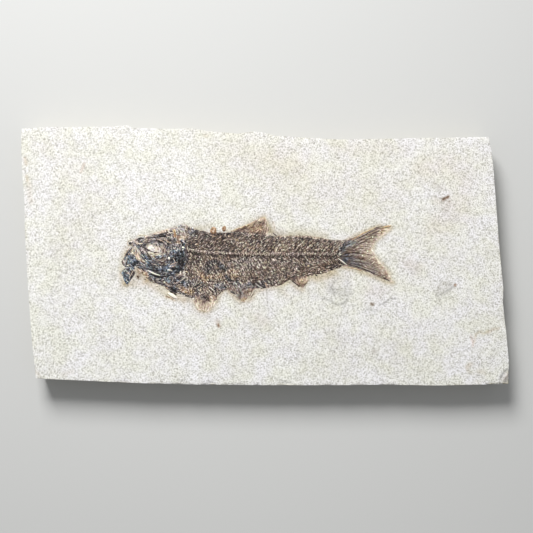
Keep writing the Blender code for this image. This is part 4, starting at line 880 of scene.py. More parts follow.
def shift_tints(tints, tone, blue, tan, weight=1.0):
    """Adds to a bone's tints, by a weight at each place."""
    for name, tint in zip(TINTS, (tone, blue, tan)):
        tints[name] = tints[name] + tint * weight


def skin(x, y, free):
    """The rise and the tints of the film at each place."""
    away = y - back_line(x)
    head = step(-29.5, -33.0, x)
    tail = step(27, 34, x)
    body = (1 - head) * (1 - tail)
    upper = step(-0.5, 1.5, away)
    # The tone dips in a narrow band just under the backbone, most towards the head: painted shade beneath
    # the vertebrae. A fainter dark band runs just above the backbone.
    tints = {
        "tone": 0.333 + 0.1 * head + 0.09 * tail + 0.06 * grain(x, y, 3.2, 25)
                - body * (0.05 * upper + 0.1 * upper * step(-6, -18, x) + 0.04 * step(4, 14, x))
                + 0.07 * grain(x, y, 1.0, 28)
                - body * np.exp(-((away + 1.2) / 0.5) ** 2)
                * (0.01 + 0.18 * step(-18, -21, x) + 0.16 * grain(x, y, 1.7, 30))
                - 0.06 * body * np.exp(-((away - 1.0) / 0.4) ** 2),
        "blue": 0.08 + 0.34 * head + (0.14 + 0.2 * head) * grain(x, y, 1.5, 26),
        "tan": 0.05 + 0.02 * tail + (0.16 - 0.05 * head) * grain(x, y, 1.2, 27),
    }
    rise = np.zeros(np.shape(x))
    for number, (width, lift, *shifts, points) in enumerate(PATCHES):
        here = near(x, y, points, 1.6 * width)
        if not here.any():
            continue
        px, py = x[here], y[here]
        away = run_distance(px, py, points) / width
        away += 0.35 * grain(px, py, 0.9, 500 + number) + 0.3 * grain(px, py, 0.4, 700 + number)
        weight = step(1.25, 0.6, away)
        rise[here] += lift * weight
        for name, tint in zip(TINTS, shifts):
            tints[name][here] += tint * weight
    shift_tints(tints, 0.2, -0.4, 0.45, step(0.55, -0.1, free))
    return rise, tints


def top_height(x, y):
    """The height of the bones' upper face at each place, or of the stone outside them."""
    height = film(x, y)[1]
    swell = np.zeros(np.shape(x))
    for node, form in BONE_FORMS.items():
        own = np.maximum(depth_inside(x, y, OUTLINES[node]), 0)
        swell = np.maximum(swell, form[0] * (1 - np.exp(-own / 1.6)))
    return np.maximum(height + swell, -0.04)


# ---- Meshes

def tint_layers(bm):
    """The bmesh layers that hold a bone's tints and the lie of its grain."""
    scalars, vectors = bm.verts.layers.float, bm.verts.layers.float_vector
    layers = {name: scalars.get(name) or scalars.new(name) for name in TINTS}
    layers["flow"] = vectors.get("flow") or vectors.new("flow")
    return layers


def add_sheet(bm, low, high, cell, shape, floor):
    """Adds a thin closed bone made from a grid over low to high. shape(p, q) gives x, y, the upper
    face's height, where the bone is, its tints and its grain."""
    sheet = bmesh.new()
    layers = tint_layers(sheet)
    columns, rows = (math.ceil(span) for span in (np.array(high) - low) / cell)
    middle = Matrix.Translation(((low[0] + high[0]) / 2, (low[1] + high[1]) / 2, 0))
    spread = Matrix.Diagonal((high[0] - low[0], high[1] - low[1], 1, 1))
    bmesh.ops.create_grid(sheet, x_segments=columns, y_segments=rows, size=0.5, matrix=middle @ spread)
    sheet.verts.index_update()
    places = np.array([vertex.co.xy for vertex in sheet.verts])
    x, y, height, covered, tints, (across, along) = shape(places[:, 0], places[:, 1])
    for vertex in sheet.verts:
        number = vertex.index
        vertex.co = (x[number], y[number], height[number])
        vertex[layers["flow"]] = (across[number], along[number], 0)
        for name in TINTS:
            vertex[layers[name]] = tints[name][number]
    bare = [vertex for vertex in sheet.verts if not covered[vertex.index]]
    while bare:
        bmesh.ops.delete(sheet, geom=bare, context="VERTS")
        bare = [vertex for vertex in sheet.verts
                if not vertex.link_faces or sum(edge.is_boundary for edge in vertex.link_edges) > 2]
    loose = [edge for edge in sheet.edges if edge.is_wire]
    bmesh.ops.delete(sheet, geom=loose, context="EDGES")
    made = bmesh.ops.extrude_face_region(sheet, geom=sheet.faces[:])["geom"]
    for vertex in made:
        if isinstance(vertex, bmesh.types.BMVert):
            vertex.co.z = floor
    mesh = mesh_from(sheet, "sheet")
    bm.from_mesh(mesh)
    bpy.data.meshes.remove(mesh)


def add_mesh(bm, mesh):
    """Adds a copy of a mesh to a bmesh, and gives its vertices."""
    count = len(bm.verts)
    bm.from_mesh(mesh)
    bm.verts.ensure_lookup_table()
    return bm.verts[count:]


def splint_mesh(sides, rings):
    """A straight splint of unit length along X and unit radius, closed at both ends."""
    part = bmesh.new()
    turn = Matrix.Rotation(math.pi / 2, 4, "Y")
    bmesh.ops.create_circle(part, segments=sides, radius=1.0, matrix=turn)
    rim = part.edges[:]
    bmesh.ops.contextual_create(part, geom=rim)
    for _ in range(rings):
        made = bmesh.ops.extrude_edge_only(part, edges=rim)["geom"]
        rim = [item for item in made if isinstance(item, bmesh.types.BMEdge)]
        moved = [item for item in made if isinstance(item, bmesh.types.BMVert)]
        bmesh.ops.translate(part, verts=moved, vec=(1 / rings, 0, 0))
    bmesh.ops.contextual_create(part, geom=rim)
    return mesh_from(part, f"splint_{sides}_{rings}")


def add_splints(bm, rows, rings, is_relative=False):
    """Adds a bent and pointed splint of bone for each row of radius, tone, blue, tan and points. Where
    the rows are relative, their tints are added to those of the film beneath."""
    layers = tint_layers(bm)
    template = splint_mesh(5, rings)
    share, side, rise = np.array([vertex.co for vertex in template.vertices]).T
    lines = [np.array(row[4], float) for row in rows]
    ends = [np.concatenate([[0], np.cumsum(np.hypot(*np.diff(line, axis=0).T))]) for line in lines]

    def place(ahead):
        """The plan of every splint's middle line, this share ahead of each vertex."""
        shares = np.clip(share + ahead, 0, 1)
        return np.array([[np.interp(shares * run[-1], run, line[:, axis]) for axis in (0, 1)]
                         for line, run in zip(lines, ends)])

    middle, heading = place(0), place(0.04) - place(-0.04)
    bulge = np.maximum(np.sin(math.pi * share), 0) ** 0.6
    x, y = middle[:, 0], middle[:, 1]
    length = np.maximum(np.hypot(heading[:, 0], heading[:, 1]), 1e-9)
    width = np.array([row[0] for row in rows])[:, None] * (0.3 + 0.7 * bulge)
    height = top_height(x.ravel(), y.ravel()).reshape(x.shape) + (0.7 * rise + 0.3) * width
    px = x - heading[:, 1] / length * side * width
    py = y + heading[:, 0] / length * side * width
    tints = {name: np.repeat([[row[number]] for row in rows], len(share), axis=1)
             for number, name in enumerate(TINTS, 1)}
    if is_relative:
        under = skin(x.ravel(), y.ravel(), np.full(x.size, 3.0))[1]
        tints = {name: tints[name] + under[name].reshape(x.shape) for name in TINTS}
    for number in range(len(rows)):
        for corner, vertex in enumerate(add_mesh(bm, template)):
            vertex.co = (px[number, corner], py[number, corner], height[number, corner])
            vertex[layers["flow"]] = (3.7 * number + side[corner] * width[number, corner],
                                      share[corner] * ends[number][-1], 0)
            for name in TINTS:
                vertex[layers[name]] = tints[name][number, corner]
    bpy.data.meshes.remove(template)


SHARP_ANGLE = math.radians(55)


def add_object(name, data):
    """Puts a new object with this data into the scene."""
    made = bpy.data.objects.new(name, data)
    bpy.context.scene.collection.objects.link(made)
    return made


def mesh_from(bm, name):
    """Turns a bmesh into a mesh."""
    mesh = bpy.data.meshes.new(name)
    bm.to_mesh(mesh)
    bm.free()
    return mesh


def finish_piece(bm, name, finishes, nodes):
    """Turns a bmesh in millimetres into a finished piece that rides on the root and stands for nodes.
    Faces of the first finish are smooth, and any others are broken."""
    bmesh.ops.recalc_face_normals(bm, faces=bm.faces)
    if bm.calc_volume(signed=True) < 0:
        bmesh.ops.reverse_faces(bm, faces=bm.faces)
    bmesh.ops.translate(bm, verts=bm.verts, vec=(0, 0, PLATE_TOP))
    bmesh.ops.scale(bm, verts=bm.verts, vec=(MM,) * 3)
    for face in bm.faces:
        face.smooth = face.material_index == 0
    for edge in bm.edges:
        edge.smooth = edge.calc_face_angle(0) < SHARP_ANGLE
    mesh = mesh_from(bm, name)
    for finish in finishes:
        mesh.materials.append(finish)
    piece = add_object(name, mesh)
    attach(piece, "root")
    if nodes:
        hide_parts(*nodes)
    return piece


# ---- Materials

def linear(code):
    """The linear colour, with full alpha, of an sRGB hex code."""
    values = [int(code[i:i + 2], 16) / 255 for i in (1, 3, 5)]
    return [v / 12.92 if v <= 0.04045 else ((v + 0.055) / 1.055) ** 2.4 for v in values] + [1.0]


def fill_ramp(elements, stops):
    """Sets the elements of a colour ramp."""
    while len(elements) < len(stops):
        elements.new(1.0)
    for element, (position, code) in zip(elements, stops):
        element.position = position
        element.color = linear(code)


def add_node(tree, kind, settings=None, links=None):
    """Adds a node, with settings for its sockets or properties, and links to its sockets. A ramp's
    stops are pairs of position and hex."""
    node = tree.nodes.new(kind)
    for name, value in (settings or {}).items():
        if name == "stops":
            fill_ramp(node.color_ramp.elements, value)
        elif isinstance(name, int) or name in node.inputs:
            node.inputs[name].default_value = value
        else:
            setattr(node, name, value)
    for name, source in (links or {}).items():
        tree.links.new(source, node.inputs[name])
    return node


def new_material(name, roughness, ior=1.5, specular=0.5):
    """A material with its tree and its shader."""
    material = bpy.data.materials.new(name)
    material.use_nodes = True
    shader = material.node_tree.nodes["Principled BSDF"]
    for socket, value in (("Roughness", roughness), ("IOR", ior), ("Specular IOR Level", specular)):
        shader.inputs[socket].default_value = value
    return material, material.node_tree, shader


BROWN_STOPS = [(0.0, "#130E0C"), (0.25, "#3C302B"), (0.5, "#7A675E"), (0.75, "#B8AA97"), (1.0, "#F1EEE0")]
BLUE_STOPS = [(0.0, "#07090C"), (0.25, "#1C2128"), (0.5, "#46515C"), (0.75, "#8498A8"), (1.0, "#E6EAEC")]
TAN_STOPS = [(0.0, "#3E2A1B"), (0.25, "#7A5A3B"), (0.5, "#AC8A62"), (0.75, "#D0BC93"), (1.0, "#F2E9D0")]
DASH_WIDTH_MM = 0.5
DASH_LENGTH_MM = 2.0
FLECK_WIDTH_MM = 0.42
FLECK_LENGTH_MM = 0.9
HUE_MM = 1.0
HUE_STOPS = [(0.38, "#FFF3FB"), (0.5, "#FFF9FA"), (0.62, "#F8FDF2")]


def fossil_material(name, roughness, dash, fleck):
    """Fossil bone and scale: phosphate films stained brown, blue-black or ochre, dull to satin. Broken
    fibres show as short dark and pale dashes along the grain, and crystals as finer flecks. Both fade
    where the film is worn pale. The brown wanders a little to pink and to green."""
    material, tree, shader = new_material(name, roughness, 1.6, 0.35)
    place = add_node(tree, "ShaderNodeTexCoord").outputs["Object"]
    lie = add_node(tree, "ShaderNodeAttribute", {"attribute_name": "flow"}).outputs["Vector"]
    tone, blue, tan = (add_node(tree, "ShaderNodeAttribute", {"attribute_name": tint}).outputs["Fac"]
                       for tint in TINTS)
    drawn = add_node(tree, "ShaderNodeMapping", {"Scale": (1 / DASH_WIDTH_MM, 1 / DASH_LENGTH_MM, 1)},
                     {"Vector": lie}).outputs[0]
    dashes = add_node(tree, "ShaderNodeTexNoise", {"Scale": 1.0, "Detail": 1.0}, {"Vector": drawn})
    split = add_node(tree, "ShaderNodeMapping", {"Scale": (1 / FLECK_WIDTH_MM, 1 / FLECK_LENGTH_MM, 1)},
                     {"Vector": lie}).outputs[0]
    flecks = add_node(tree, "ShaderNodeTexNoise", {"Scale": 1.0, "Detail": 2.0}, {"Vector": split})
    dashed = add_node(tree, "ShaderNodeMath", {"operation": "MULTIPLY_ADD", 1: dash, 2: -(dash + fleck) / 2},
                      {0: dashes.outputs["Fac"]}).outputs[0]
    marked = add_node(tree, "ShaderNodeMath", {"operation": "MULTIPLY_ADD", 1: fleck},
                      {0: flecks.outputs["Fac"], 2: dashed}).outputs[0]
    wear = add_node(tree, "ShaderNodeMapRange", {"From Min": 0.5, "From Max": 0.8, "To Min": 1.0,
                                                 "To Max": 0.4}, {"Value": tone}).outputs[0]
    value = add_node(tree, "ShaderNodeMath", {"operation": "MULTIPLY_ADD"},
                     {0: marked, 1: wear, 2: tone}).outputs[0]
    brown, enamel, ochre = (
        add_node(tree, "ShaderNodeValToRGB", {"stops": stops}, {"Fac": value}).outputs[0]
        for stops in (BROWN_STOPS, BLUE_STOPS, TAN_STOPS))
    bluish = add_node(tree, "ShaderNodeMix", {"data_type": "RGBA"}, {0: blue, 6: brown, 7: enamel})
    stained = add_node(tree, "ShaderNodeMix", {"data_type": "RGBA"},
                       {0: tan, 6: bluish.outputs[2], 7: ochre})
    hues = add_node(tree, "ShaderNodeTexNoise", {"Scale": 1 / (HUE_MM * MM), "Detail": 2.0},
                    {"Vector": place})
    hue = add_node(tree, "ShaderNodeValToRGB", {"stops": HUE_STOPS}, {"Fac": hues.outputs["Fac"]})
    tinted = add_node(tree, "ShaderNodeMix", {"data_type": "RGBA", "blend_type": "MULTIPLY", 0: 1.0},
                      {6: stained.outputs[2], 7: hue.outputs[0]})
    bump = add_node(tree, "ShaderNodeBump", {"Strength": 0.6, "Distance": 0.1 * MM},
                    {"Height": value})
    tree.links.new(tinted.outputs[2], shader.inputs["Base Color"])
    tree.links.new(bump.outputs[0], shader.inputs["Normal"])
    return material


# Colours of the stains on the face; the grey also paints the shadow lines along the flake steps
STAIN_AND_SHADE_COLOURS = {"ochre": "#BFA45A", "rust": "#C98F58", "grey": "#6B6A66"}
MOTTLE_MM = 0.82
CLOUD_MM = 7.0
CLOUD_STOPS = [(0.35, "#FAF9EF"), (0.65, "#FEFCFD")]


def limestone_material(name, colour, mottle_stops, lie, bump_mm):
    """Dry laminated lime mudstone. A split face is off-white, with a fine mottle of pale curls between
    grey gaps. A broken edge shows its laminae, because lie draws the mottle out along the bedding."""
    material, tree, shader = new_material(name, 0.92, specular=0.2)
    place = add_node(tree, "ShaderNodeTexCoord").outputs["Object"]
    drawn = add_node(tree, "ShaderNodeMapping", {"Scale": lie}, {"Vector": place}).outputs[0]
    mottle = add_node(tree, "ShaderNodeTexNoise",
                      {"Scale": 1 / (MOTTLE_MM * MM), "Detail": 2.0, "Roughness": 0.6},
                      {"Vector": drawn})
    cloud = add_node(tree, "ShaderNodeTexNoise", {"Scale": 1 / (CLOUD_MM * MM), "Detail": 4.0},
                     {"Vector": drawn})
    shade = add_node(tree, "ShaderNodeValToRGB", {"stops": mottle_stops},
                     {"Fac": mottle.outputs["Fac"]})
    clouded = add_node(tree, "ShaderNodeValToRGB", {"stops": CLOUD_STOPS}, {"Fac": cloud.outputs["Fac"]})
    blend = {"data_type": "RGBA", "blend_type": "MULTIPLY"}
    speckled = add_node(tree, "ShaderNodeMix", {**blend, 0: 1.0, 6: colour}, {7: shade.outputs[0]})
    tinted = add_node(tree, "ShaderNodeMix", {**blend, 0: 1.0},
                      {6: speckled.outputs[2], 7: clouded.outputs[0]})
    for stain_and_shade, code in STAIN_AND_SHADE_COLOURS.items():
        share = add_node(tree, "ShaderNodeAttribute", {"attribute_name": stain_and_shade}).outputs["Fac"]
        tinted = add_node(tree, "ShaderNodeMix", {**blend, 7: linear(code)},
                          {0: share, 6: tinted.outputs[2]})
    bump = add_node(tree, "ShaderNodeBump", {"Strength": 0.6, "Distance": bump_mm * MM},
                    {"Height": mottle.outputs["Fac"]})
    tree.links.new(tinted.outputs[2], shader.inputs["Base Color"])
    tree.links.new(bump.outputs[0], shader.inputs["Normal"])
    return material


FACE_MOTTLE = [(0.31, "#B4B2AC"), (0.41, "#CDCCC7"), (0.49, "#FFFFFF"), (0.58, "#D4D3CE"), (0.69, "#BBBAB5")]
EDGE_MOTTLE = [(0.30, "#BDBAB2"), (0.45, "#DAD7CF"), (0.56, "#F1EFEA"), (0.75, "#FFFFFF")]


def plain_material(name, colour, roughness):
    """Smooth seamless backdrop board, matt and even."""
    material, _, shader = new_material(name, roughness)
    shader.inputs["Base Color"].default_value = colour
    return material


def shared(name, make, *settings):
    """A material by name, made the first time it is asked for."""
    return bpy.data.materials.get(name) or make(name, *settings)


def film_finish():
    """Dull satin film of brown scale and bone, strongly flecked."""
    return shared("brown_fossil_scale_film", fossil_material, 0.6, 1.5, 3.1)


def enamel_finish():
    """Semi-gloss blue-black bone of the head, with smoother flecks."""
    return shared("dark_fossil_head_bone", fossil_material, 0.42, 1.1, 1.7)


def ray_finish():
    """Dull grey-brown to tan rays, faintly flecked."""
    return shared("fossil_fin_ray", fossil_material, 0.6, 0.9, 1.2)


# ---- Settings

class PlateSettings(bpy.types.PropertyGroup):
    """The stone's settings"""
    cell: FloatProperty(name="Cell", description="Size of the upper face's cells",
                        default=0.56 * MM, unit="LENGTH")
    laminae: IntProperty(name="Laminae", description="Layers that show round the sides", default=12)
    stone: FloatVectorProperty(name="Stone", description="Colour of the split face", size=4,
                               default=linear("#F0F1F3"), subtype="COLOR")
    broken: FloatVectorProperty(name="Broken edge", description="Colour of the broken sides", size=4,
                                default=linear("#DCDAD3"), subtype="COLOR")


class FishSettings(bpy.types.PropertyGroup):
    """The bones' settings"""
    cell: FloatProperty(name="Cell", description="Size of the bones' cells", default=0.2 * MM,
                        unit="LENGTH")
    floor: FloatProperty(name="Floor", description="Depth of the bones' undersides below the face",
                         default=0.7 * MM, unit="LENGTH")
    hair_bones: IntProperty(name="Hair bones", description="Fine bones scattered in the flesh",
                            default=2200)
    head_chips: IntProperty(name="Head chips", description="Chips of bone scattered in the head",
                            default=600)


class StudioSettings(bpy.types.PropertyGroup):
    """The floor's, lights' and camera's settings"""
    distance: FloatProperty(name="Camera distance", description="From the plate's face to the camera",
                            default=0.4, unit="LENGTH")
    view_width: FloatProperty(name="View width", description="Width of the view at the plate's face",
                              default=0.2132, unit="LENGTH")
    roll: FloatProperty(name="Roll", description="Turn of the camera about its line of sight",
                        default=math.radians(0.85), subtype="ANGLE")
    floor: FloatVectorProperty(name="Floor", description="Colour of the floor", size=4,
                               default=linear("#BDBDBB"), subtype="COLOR")
    key_power: FloatProperty(name="Key light", description="Power of the key light in watts",
                             default=3.4)
    fill: FloatProperty(name="Fill", description="Strength of the light from all round", default=0.4)


# ---- The stone

def face_relief(x, y, rim):
    """The split face: low waves and grit, the bed under the fish and the thin flakes off the rim."""
    height = 0.05 * grain(x, y, 6.0, 41) + 0.03 * grain(x, y, 1.6, 42) - 0.06
    height -= BED_FLOOR * step(0.25, 1.1, fish_depth(x, y))
    for number, (fx, fy, length, width, depth) in enumerate(EDGE_FLAKES):
        reach = np.hypot((x - fx) / (length / 2), (y - fy) / (width / 2))
        reach += 0.06 * grain(x, y, 1.5, 50 + number)
        for terrace in FLAKE_TERRACES:
            height -= depth / len(FLAKE_TERRACES) * step(terrace + 0.04, terrace - 0.04, reach)
    chip = np.exp(-rim / 0.3) * (0.03 + 0.35 * np.clip(grain(x, y, 2.6, 43) - 0.15, 0, 1))
    return height - chip


def face_stains_and_shade_lines(x, y):
    """How far ochre, rust and grey stain each place of the face: a fringe round the fish, broad tints,
    prints of scales and specks. The grey also paints lines of shadow along the flake steps."""
    outside = np.maximum(-fish_depth(x, y), 0)
    below = step(2, -8, y) * step(-56, -44, x) * (0.4 + 0.6 * step(22, 4, x))
    reach = 0.55 + 0.9 * below + 0.35 * grain(x, y, 2.4, 61) * (1 + below)
    fringe = np.exp(-outside / np.maximum(reach, 0.2))
    broad = grain(x, y, 14.0, 62), grain(x, y, 9.0, 63), grain(x, y, 4.0, 64)
    stains_and_shade_lines = [0.26 * fringe + 0.03 * np.exp(-outside / 5.0) + 0.035 * step(-55, 10, y) + 0.02 * broad[0]
              + 0.015 * broad[2],
              0.02 * fringe + 0.012 - 0.01 * broad[0] + 0.012 * broad[1],
              0.05 * fringe + 0.01 + 0.012 * broad[1]]
    for number, (width, *tints, points) in enumerate(STONE_MARKS):
        here = near(x, y, points, 3 * width)
        px, py = x[here], y[here]
        away = run_distance(px, py, points) + 0.35 * width * grain(px, py, 0.7 * width + 0.4, 70 + number)
        weight = np.exp(-(np.maximum(away, 0) / width) ** 2)
        for stain_and_shade, tint in zip(stains_and_shade_lines, tints):
            stain_and_shade[here] += tint * weight
    return [np.clip(stain_and_shade, 0, 1) for stain_and_shade in stains_and_shade_lines]


class FOSSIL_OT_plate(bpy.types.Operator):
    """Build the split limestone plate with its broken, laminated edges"""
    bl_idname = "fossil.plate"
    bl_label = "Limestone plate"

    def execute(self, context):
        settings = context.scene.fossil_plate
        columns, rows = (round(span * MM / settings.cell) for span in FACE_SPAN)
        bm = bmesh.new()
        bmesh.ops.create_grid(bm, x_segments=columns, y_segments=rows, size=0.5,
                              matrix=Matrix.Translation((0.5, 0.5, 0)))
        shares = np.array([vertex.co.xy for vertex in bm.verts])
        curves = {"base": LOWER_EDGE, "tip": UPPER_EDGE, "front": HEAD_EDGE, "rear": TAIL_EDGE}
        x, y = patch(curves, shares[:, 0], shares[:, 1]).T
        rim = np.min([run_distance(x, y, edge) for edge in curves.values()], axis=0)
        height = face_relief(x, y, rim)
        marks = face_stains_and_shade_lines(x, y)
        layers = [bm.verts.layers.float.new(name) for name in STAIN_AND_SHADE_COLOURS]
        for number, vertex in enumerate(bm.verts):
            vertex.co = (x[number], y[number], height[number])
            for layer, mark in zip(layers, marks):
                vertex[layer] = mark[number]
        self.add_sides(bm, settings.laminae)
        for face in bm.faces:
            is_side = -PLATE_TOP + 0.1 < face.calc_center_median().z < -DEEPEST_FLAKE
            face.material_index = 1 if is_side or abs(face.normal.z) <= 0.6 else 0
        finishes = [shared("split_limestone_face", limestone_material, settings.stone, FACE_MOTTLE,
                           (1, 1, 1), 0.15),
                    shared("broken_limestone_edge", limestone_material, settings.broken, EDGE_MOTTLE,
                           (0.09, 0.09, 1.25), 0.3)]
        finish_piece(bm, "limestone_plate", finishes, ["limestone_slab"])
        return {"FINISHED"}

    def add_sides(self, bm, laminae):
        """Steps the rim down lamina by lamina, each broken back by its own amount, and closes the base."""
        rim = [edge for edge in bm.edges if edge.is_boundary]
        place = bm.verts.layers.float_vector.new("place")
        for vertex in {vertex for edge in rim for vertex in edge.verts}:
            vertex[place] = vertex.co
        thickness = np.random.default_rng(7).uniform(0.5, 1.5, laminae)
        depths = np.concatenate([[0], np.cumsum(thickness)]) * PLATE_TOP / thickness.sum()
        for number in range(laminae):
            for depth in (depths[number] + 0.08, depths[number + 1] - 0.02):
                made = bmesh.ops.extrude_edge_only(bm, edges=rim)["geom"]
                rim = [item for item in made if isinstance(item, bmesh.types.BMEdge)]
                self.place_ring([item for item in made if isinstance(item, bmesh.types.BMVert)],
                                place, number, min(depth, PLATE_TOP))
        for vertex in {vertex for edge in rim for vertex in edge.verts}:
            vertex.co.z = -PLATE_TOP
            for name in STAIN_AND_SHADE_COLOURS:
                vertex[bm.verts.layers.float[name]] = 0.0
        bmesh.ops.contextual_create(bm, geom=rim)
        bm.verts.layers.float_vector.remove(place)

    def place_ring(self, ring, place, number, depth):
        """Puts a ring of vertices at a depth, broken back from the rim towards the plate's middle."""
        x, y, _ = np.array([vertex[place] for vertex in ring]).T
        shift = 31.0 * number
        back = 0.35 * grain(x + shift, y, 9.0, 80) + 0.22 * grain(x, y + shift, 2.6, 81)
        back = 0.3 + back + 0.1 * grain(x + shift, y, 0.9, 82) + UNDERSIDE_SETBACK * (depth / PLATE_TOP) ** 2
        back = np.clip(back, 0.02, DEEPEST_BREAK)
        inward = np.stack([-0.1 * x, -0.2 * y])
        inward /= np.hypot(*inward)
        for vertex, px, py in zip(ring, x + inward[0] * back, y + inward[1] * back):
            vertex.co = (px, py, -depth)


# ---- The fish

def build_bone(node, name, finish):
    """Builds one of the bones that are sheets over the film."""
    settings = bpy.context.scene.fossil_fish
    swell, tone, blue, tan = BONE_FORMS[node]
    loop = OUTLINES[node]

    def shape(x, y):
        free, height = film(x, y)
        own = depth_inside(x, y, loop)
        across, along = flow(x, y)
        rise, tints = skin(x, y, free)
        height = height + rise + swell * (1 - np.exp(-np.maximum(own, 0) / 1.6))
        height += 0.05 * grain(across, along, 0.42, 22, 2.4) + 0.03 * grain(x, y, 0.42, 24)
        height -= 0.22 * step(0.2, -0.45, own + 0.25 * grain(x, y, 0.9, 29))
        shift_tints(tints, tone, blue, tan)
        return x, y, height, (own > -0.65) & (free > -0.5), tints, (across, along)

    bm = bmesh.new()
    low, high = np.min(loop, axis=0) - 0.8, np.max(loop, axis=0) + 0.8
    add_sheet(bm, low, high, settings.cell / MM, shape, -settings.floor / MM)
    finish_piece(bm, name, [finish], [node])


class BoneSheets:
    """What the operators share that build bones as sheets: each node, its piece, finish and slot."""
    sheets = []

    def execute(self, context):
        for node, name, finish, slot in self.sheets:
            build_bone(node, name, finish())
        return {"FINISHED"}


class FOSSIL_OT_flank(BoneSheets, bpy.types.Operator):
    """Build the film of scales over the flank"""
    bl_idname = "fossil.flank"
    bl_label = "Flank"
    sheets = [("flank", "flank_scales", film_finish, "brown_bone")]


def vertebra_places():
    """The middle of each vertebra along the backbone."""
    x = BACKBONE_LINE[0][0] + (np.arange(VERTEBRAE) + 0.5) * VERTEBRA_PITCH
    return x, back_line(x)


class FOSSIL_OT_ribs(bpy.types.Operator):
    """Build the spines above the backbone, the ribs and spines below it, and the dark strokes of painted
    shadow under the vertebrae
    """
    bl_idname = "fossil.ribs"
    bl_label = "Ribs and spines"

    def execute(self, context):
        chance = np.random.default_rng(17)
        rows = []
        for number, (x, y) in enumerate(zip(*vertebra_places())):
            share = number / VERTEBRAE
            rows += self.spine(chance, x, y + 0.5, 1.0, 1.1, 5.0 - 1.6 * share)
            rows += self.spine(chance, x, y - 0.5, -1.0, belly_lean(x), 8.6 - 4.8 * share)
            # Under each vertebra a dark stroke of painted shadow, and a short pale stroke above it
            long = 0.9 if number % 2 and x > -14 else 0.2
            end = (x + 0.45 + long, y - 1.25 - 0.5 * long)
            rows.append((0.18, -0.34, 0.0, 0.0, [(x - 0.2, y - 0.8), end]))
            rows.append((0.14, 0.28, 0.0, 0.05, [(x - 0.3, y + 0.5), (x + 0.35, y + 1.0)]))
        bm = bmesh.new()
        add_splints(bm, rows, 5, is_relative=True)
        finish_piece(bm, "ribs_spines_and_shadow_strokes", [film_finish()], [])
        return {"FINISHED"}

    def spine(self, chance, x, y, way, lean, reach):
        """A pale spine or rib and the dark gap beside it, broken into short lengths."""
        reach *= chance.uniform(0.75, 1.0)
        breaks = np.sort(chance.uniform(0.1, 0.9, 1 + round(reach / 1.6)))
        rows = []
        for start, end in zip([0.0, *(breaks + 0.05)], [*breaks, 1.0]):
            if (end - start) * reach < 0.5:
                continue
            line = [(x + lean * reach * s * (1 - 0.12 * s), y + way * reach * s)
                    for s in np.linspace(start, end, 4)]
            rows.append((0.15, chance.uniform(0.12, 0.34), 0.0, chance.uniform(-0.05, 0.2), line))
            beside = [(px + 0.34, py) for px, py in line]
            rows.append((0.13, -chance.uniform(0.15, 0.34), 0.0, 0.0, beside))
        return rows


class FOSSIL_OT_hair_bones(bpy.types.Operator):
    """Scatter the hair-like bones of the flesh and the chips of the crushed head"""
    bl_idname = "fossil.hair_bones"
    bl_label = "Hair bones and chips"

    def execute(self, context):
        settings = context.scene.fossil_fish
        self.scatter("hair_bones", film_finish(), "brown_bone", ["flank"], settings.hair_bones,
                     seed=31, lengths=(0.6, 1.8), radii=(0.07, 0.14), spread=0.15)
        self.scatter("head_chips", enamel_finish(), "dark_bone",
                     ["skull", "gill_cover", "upper_jaw", "lower_jaw", "throat_rays"],
                     settings.head_chips, seed=32, lengths=(0.4, 1.4), radii=(0.07, 0.16), spread=0.35)
        return {"FINISHED"}

    def scatter(self, name, finish, slot, nodes, count, seed, lengths, radii, spread):
        """Scatters short splints over some nodes. Their turn from the grain and their blue spread."""
        chance = np.random.default_rng(seed)
        corners = np.array([point for node in nodes for point in OUTLINES[node]])
        x, y = chance.uniform(corners.min(axis=0), corners.max(axis=0), (count * 4, 2)).T
        inside = np.max([depth_inside(x, y, OUTLINES[node]) for node in nodes], axis=0) > 0.3
        x, y = x[inside][:count], y[inside][:count]
        angle = grain_angle(x, y) + chance.normal(0, spread, len(x))
        length = chance.uniform(*lengths, len(x)) / 2
        radius = chance.uniform(*radii, len(x))
        pale = chance.random(len(x)) < 0.5
        tone = np.where(pale, chance.uniform(0.15, 0.5, len(x)), -chance.uniform(0.15, 0.4, len(x)))
        rows = []
        for number in range(len(x)):
            dx, dy = length[number] * math.cos(angle[number]), length[number] * math.sin(angle[number])
            bend = chance.uniform(-0.15, 0.15)
            points = [(x[number] - dx, y[number] - dy), (x[number] - bend * dy, y[number] + bend * dx),
                      (x[number] + dx, y[number] + dy)]
            rows.append((radius[number], tone[number], chance.uniform(-spread, spread),
                         chance.uniform(-0.1, 0.4 if pale[number] else 0.1), points))
        bm = bmesh.new()
        add_splints(bm, rows, 3, is_relative=True)
        finish_piece(bm, name, [finish], [])


class FOSSIL_OT_single_bones(bpy.types.Operator):
    """Build the single bones, splinters and grains that stand out from the film, and the dark strokes of
    painted shadow under the backbone
    """
    bl_idname = "fossil.single_bones"
    bl_label = "Single bones"

    def execute(self, context):
        groups = [("head_bones", enamel_finish(), "dark_bone", -100, -33),
                  ("body_bones_and_shadow_strokes", film_finish(), "brown_bone", -33, 29),
                  ("tail_bones", ray_finish(), "fin_rays", 29, 100)]
        for name, finish, slot, low, high in groups:
            bm = bmesh.new()
            rows = [row for row in BONE_LINES if low <= np.mean(row[4], axis=0)[0] < high]
            add_splints(bm, rows, 8)
            finish_piece(bm, name, [finish], [])
        return {"FINISHED"}


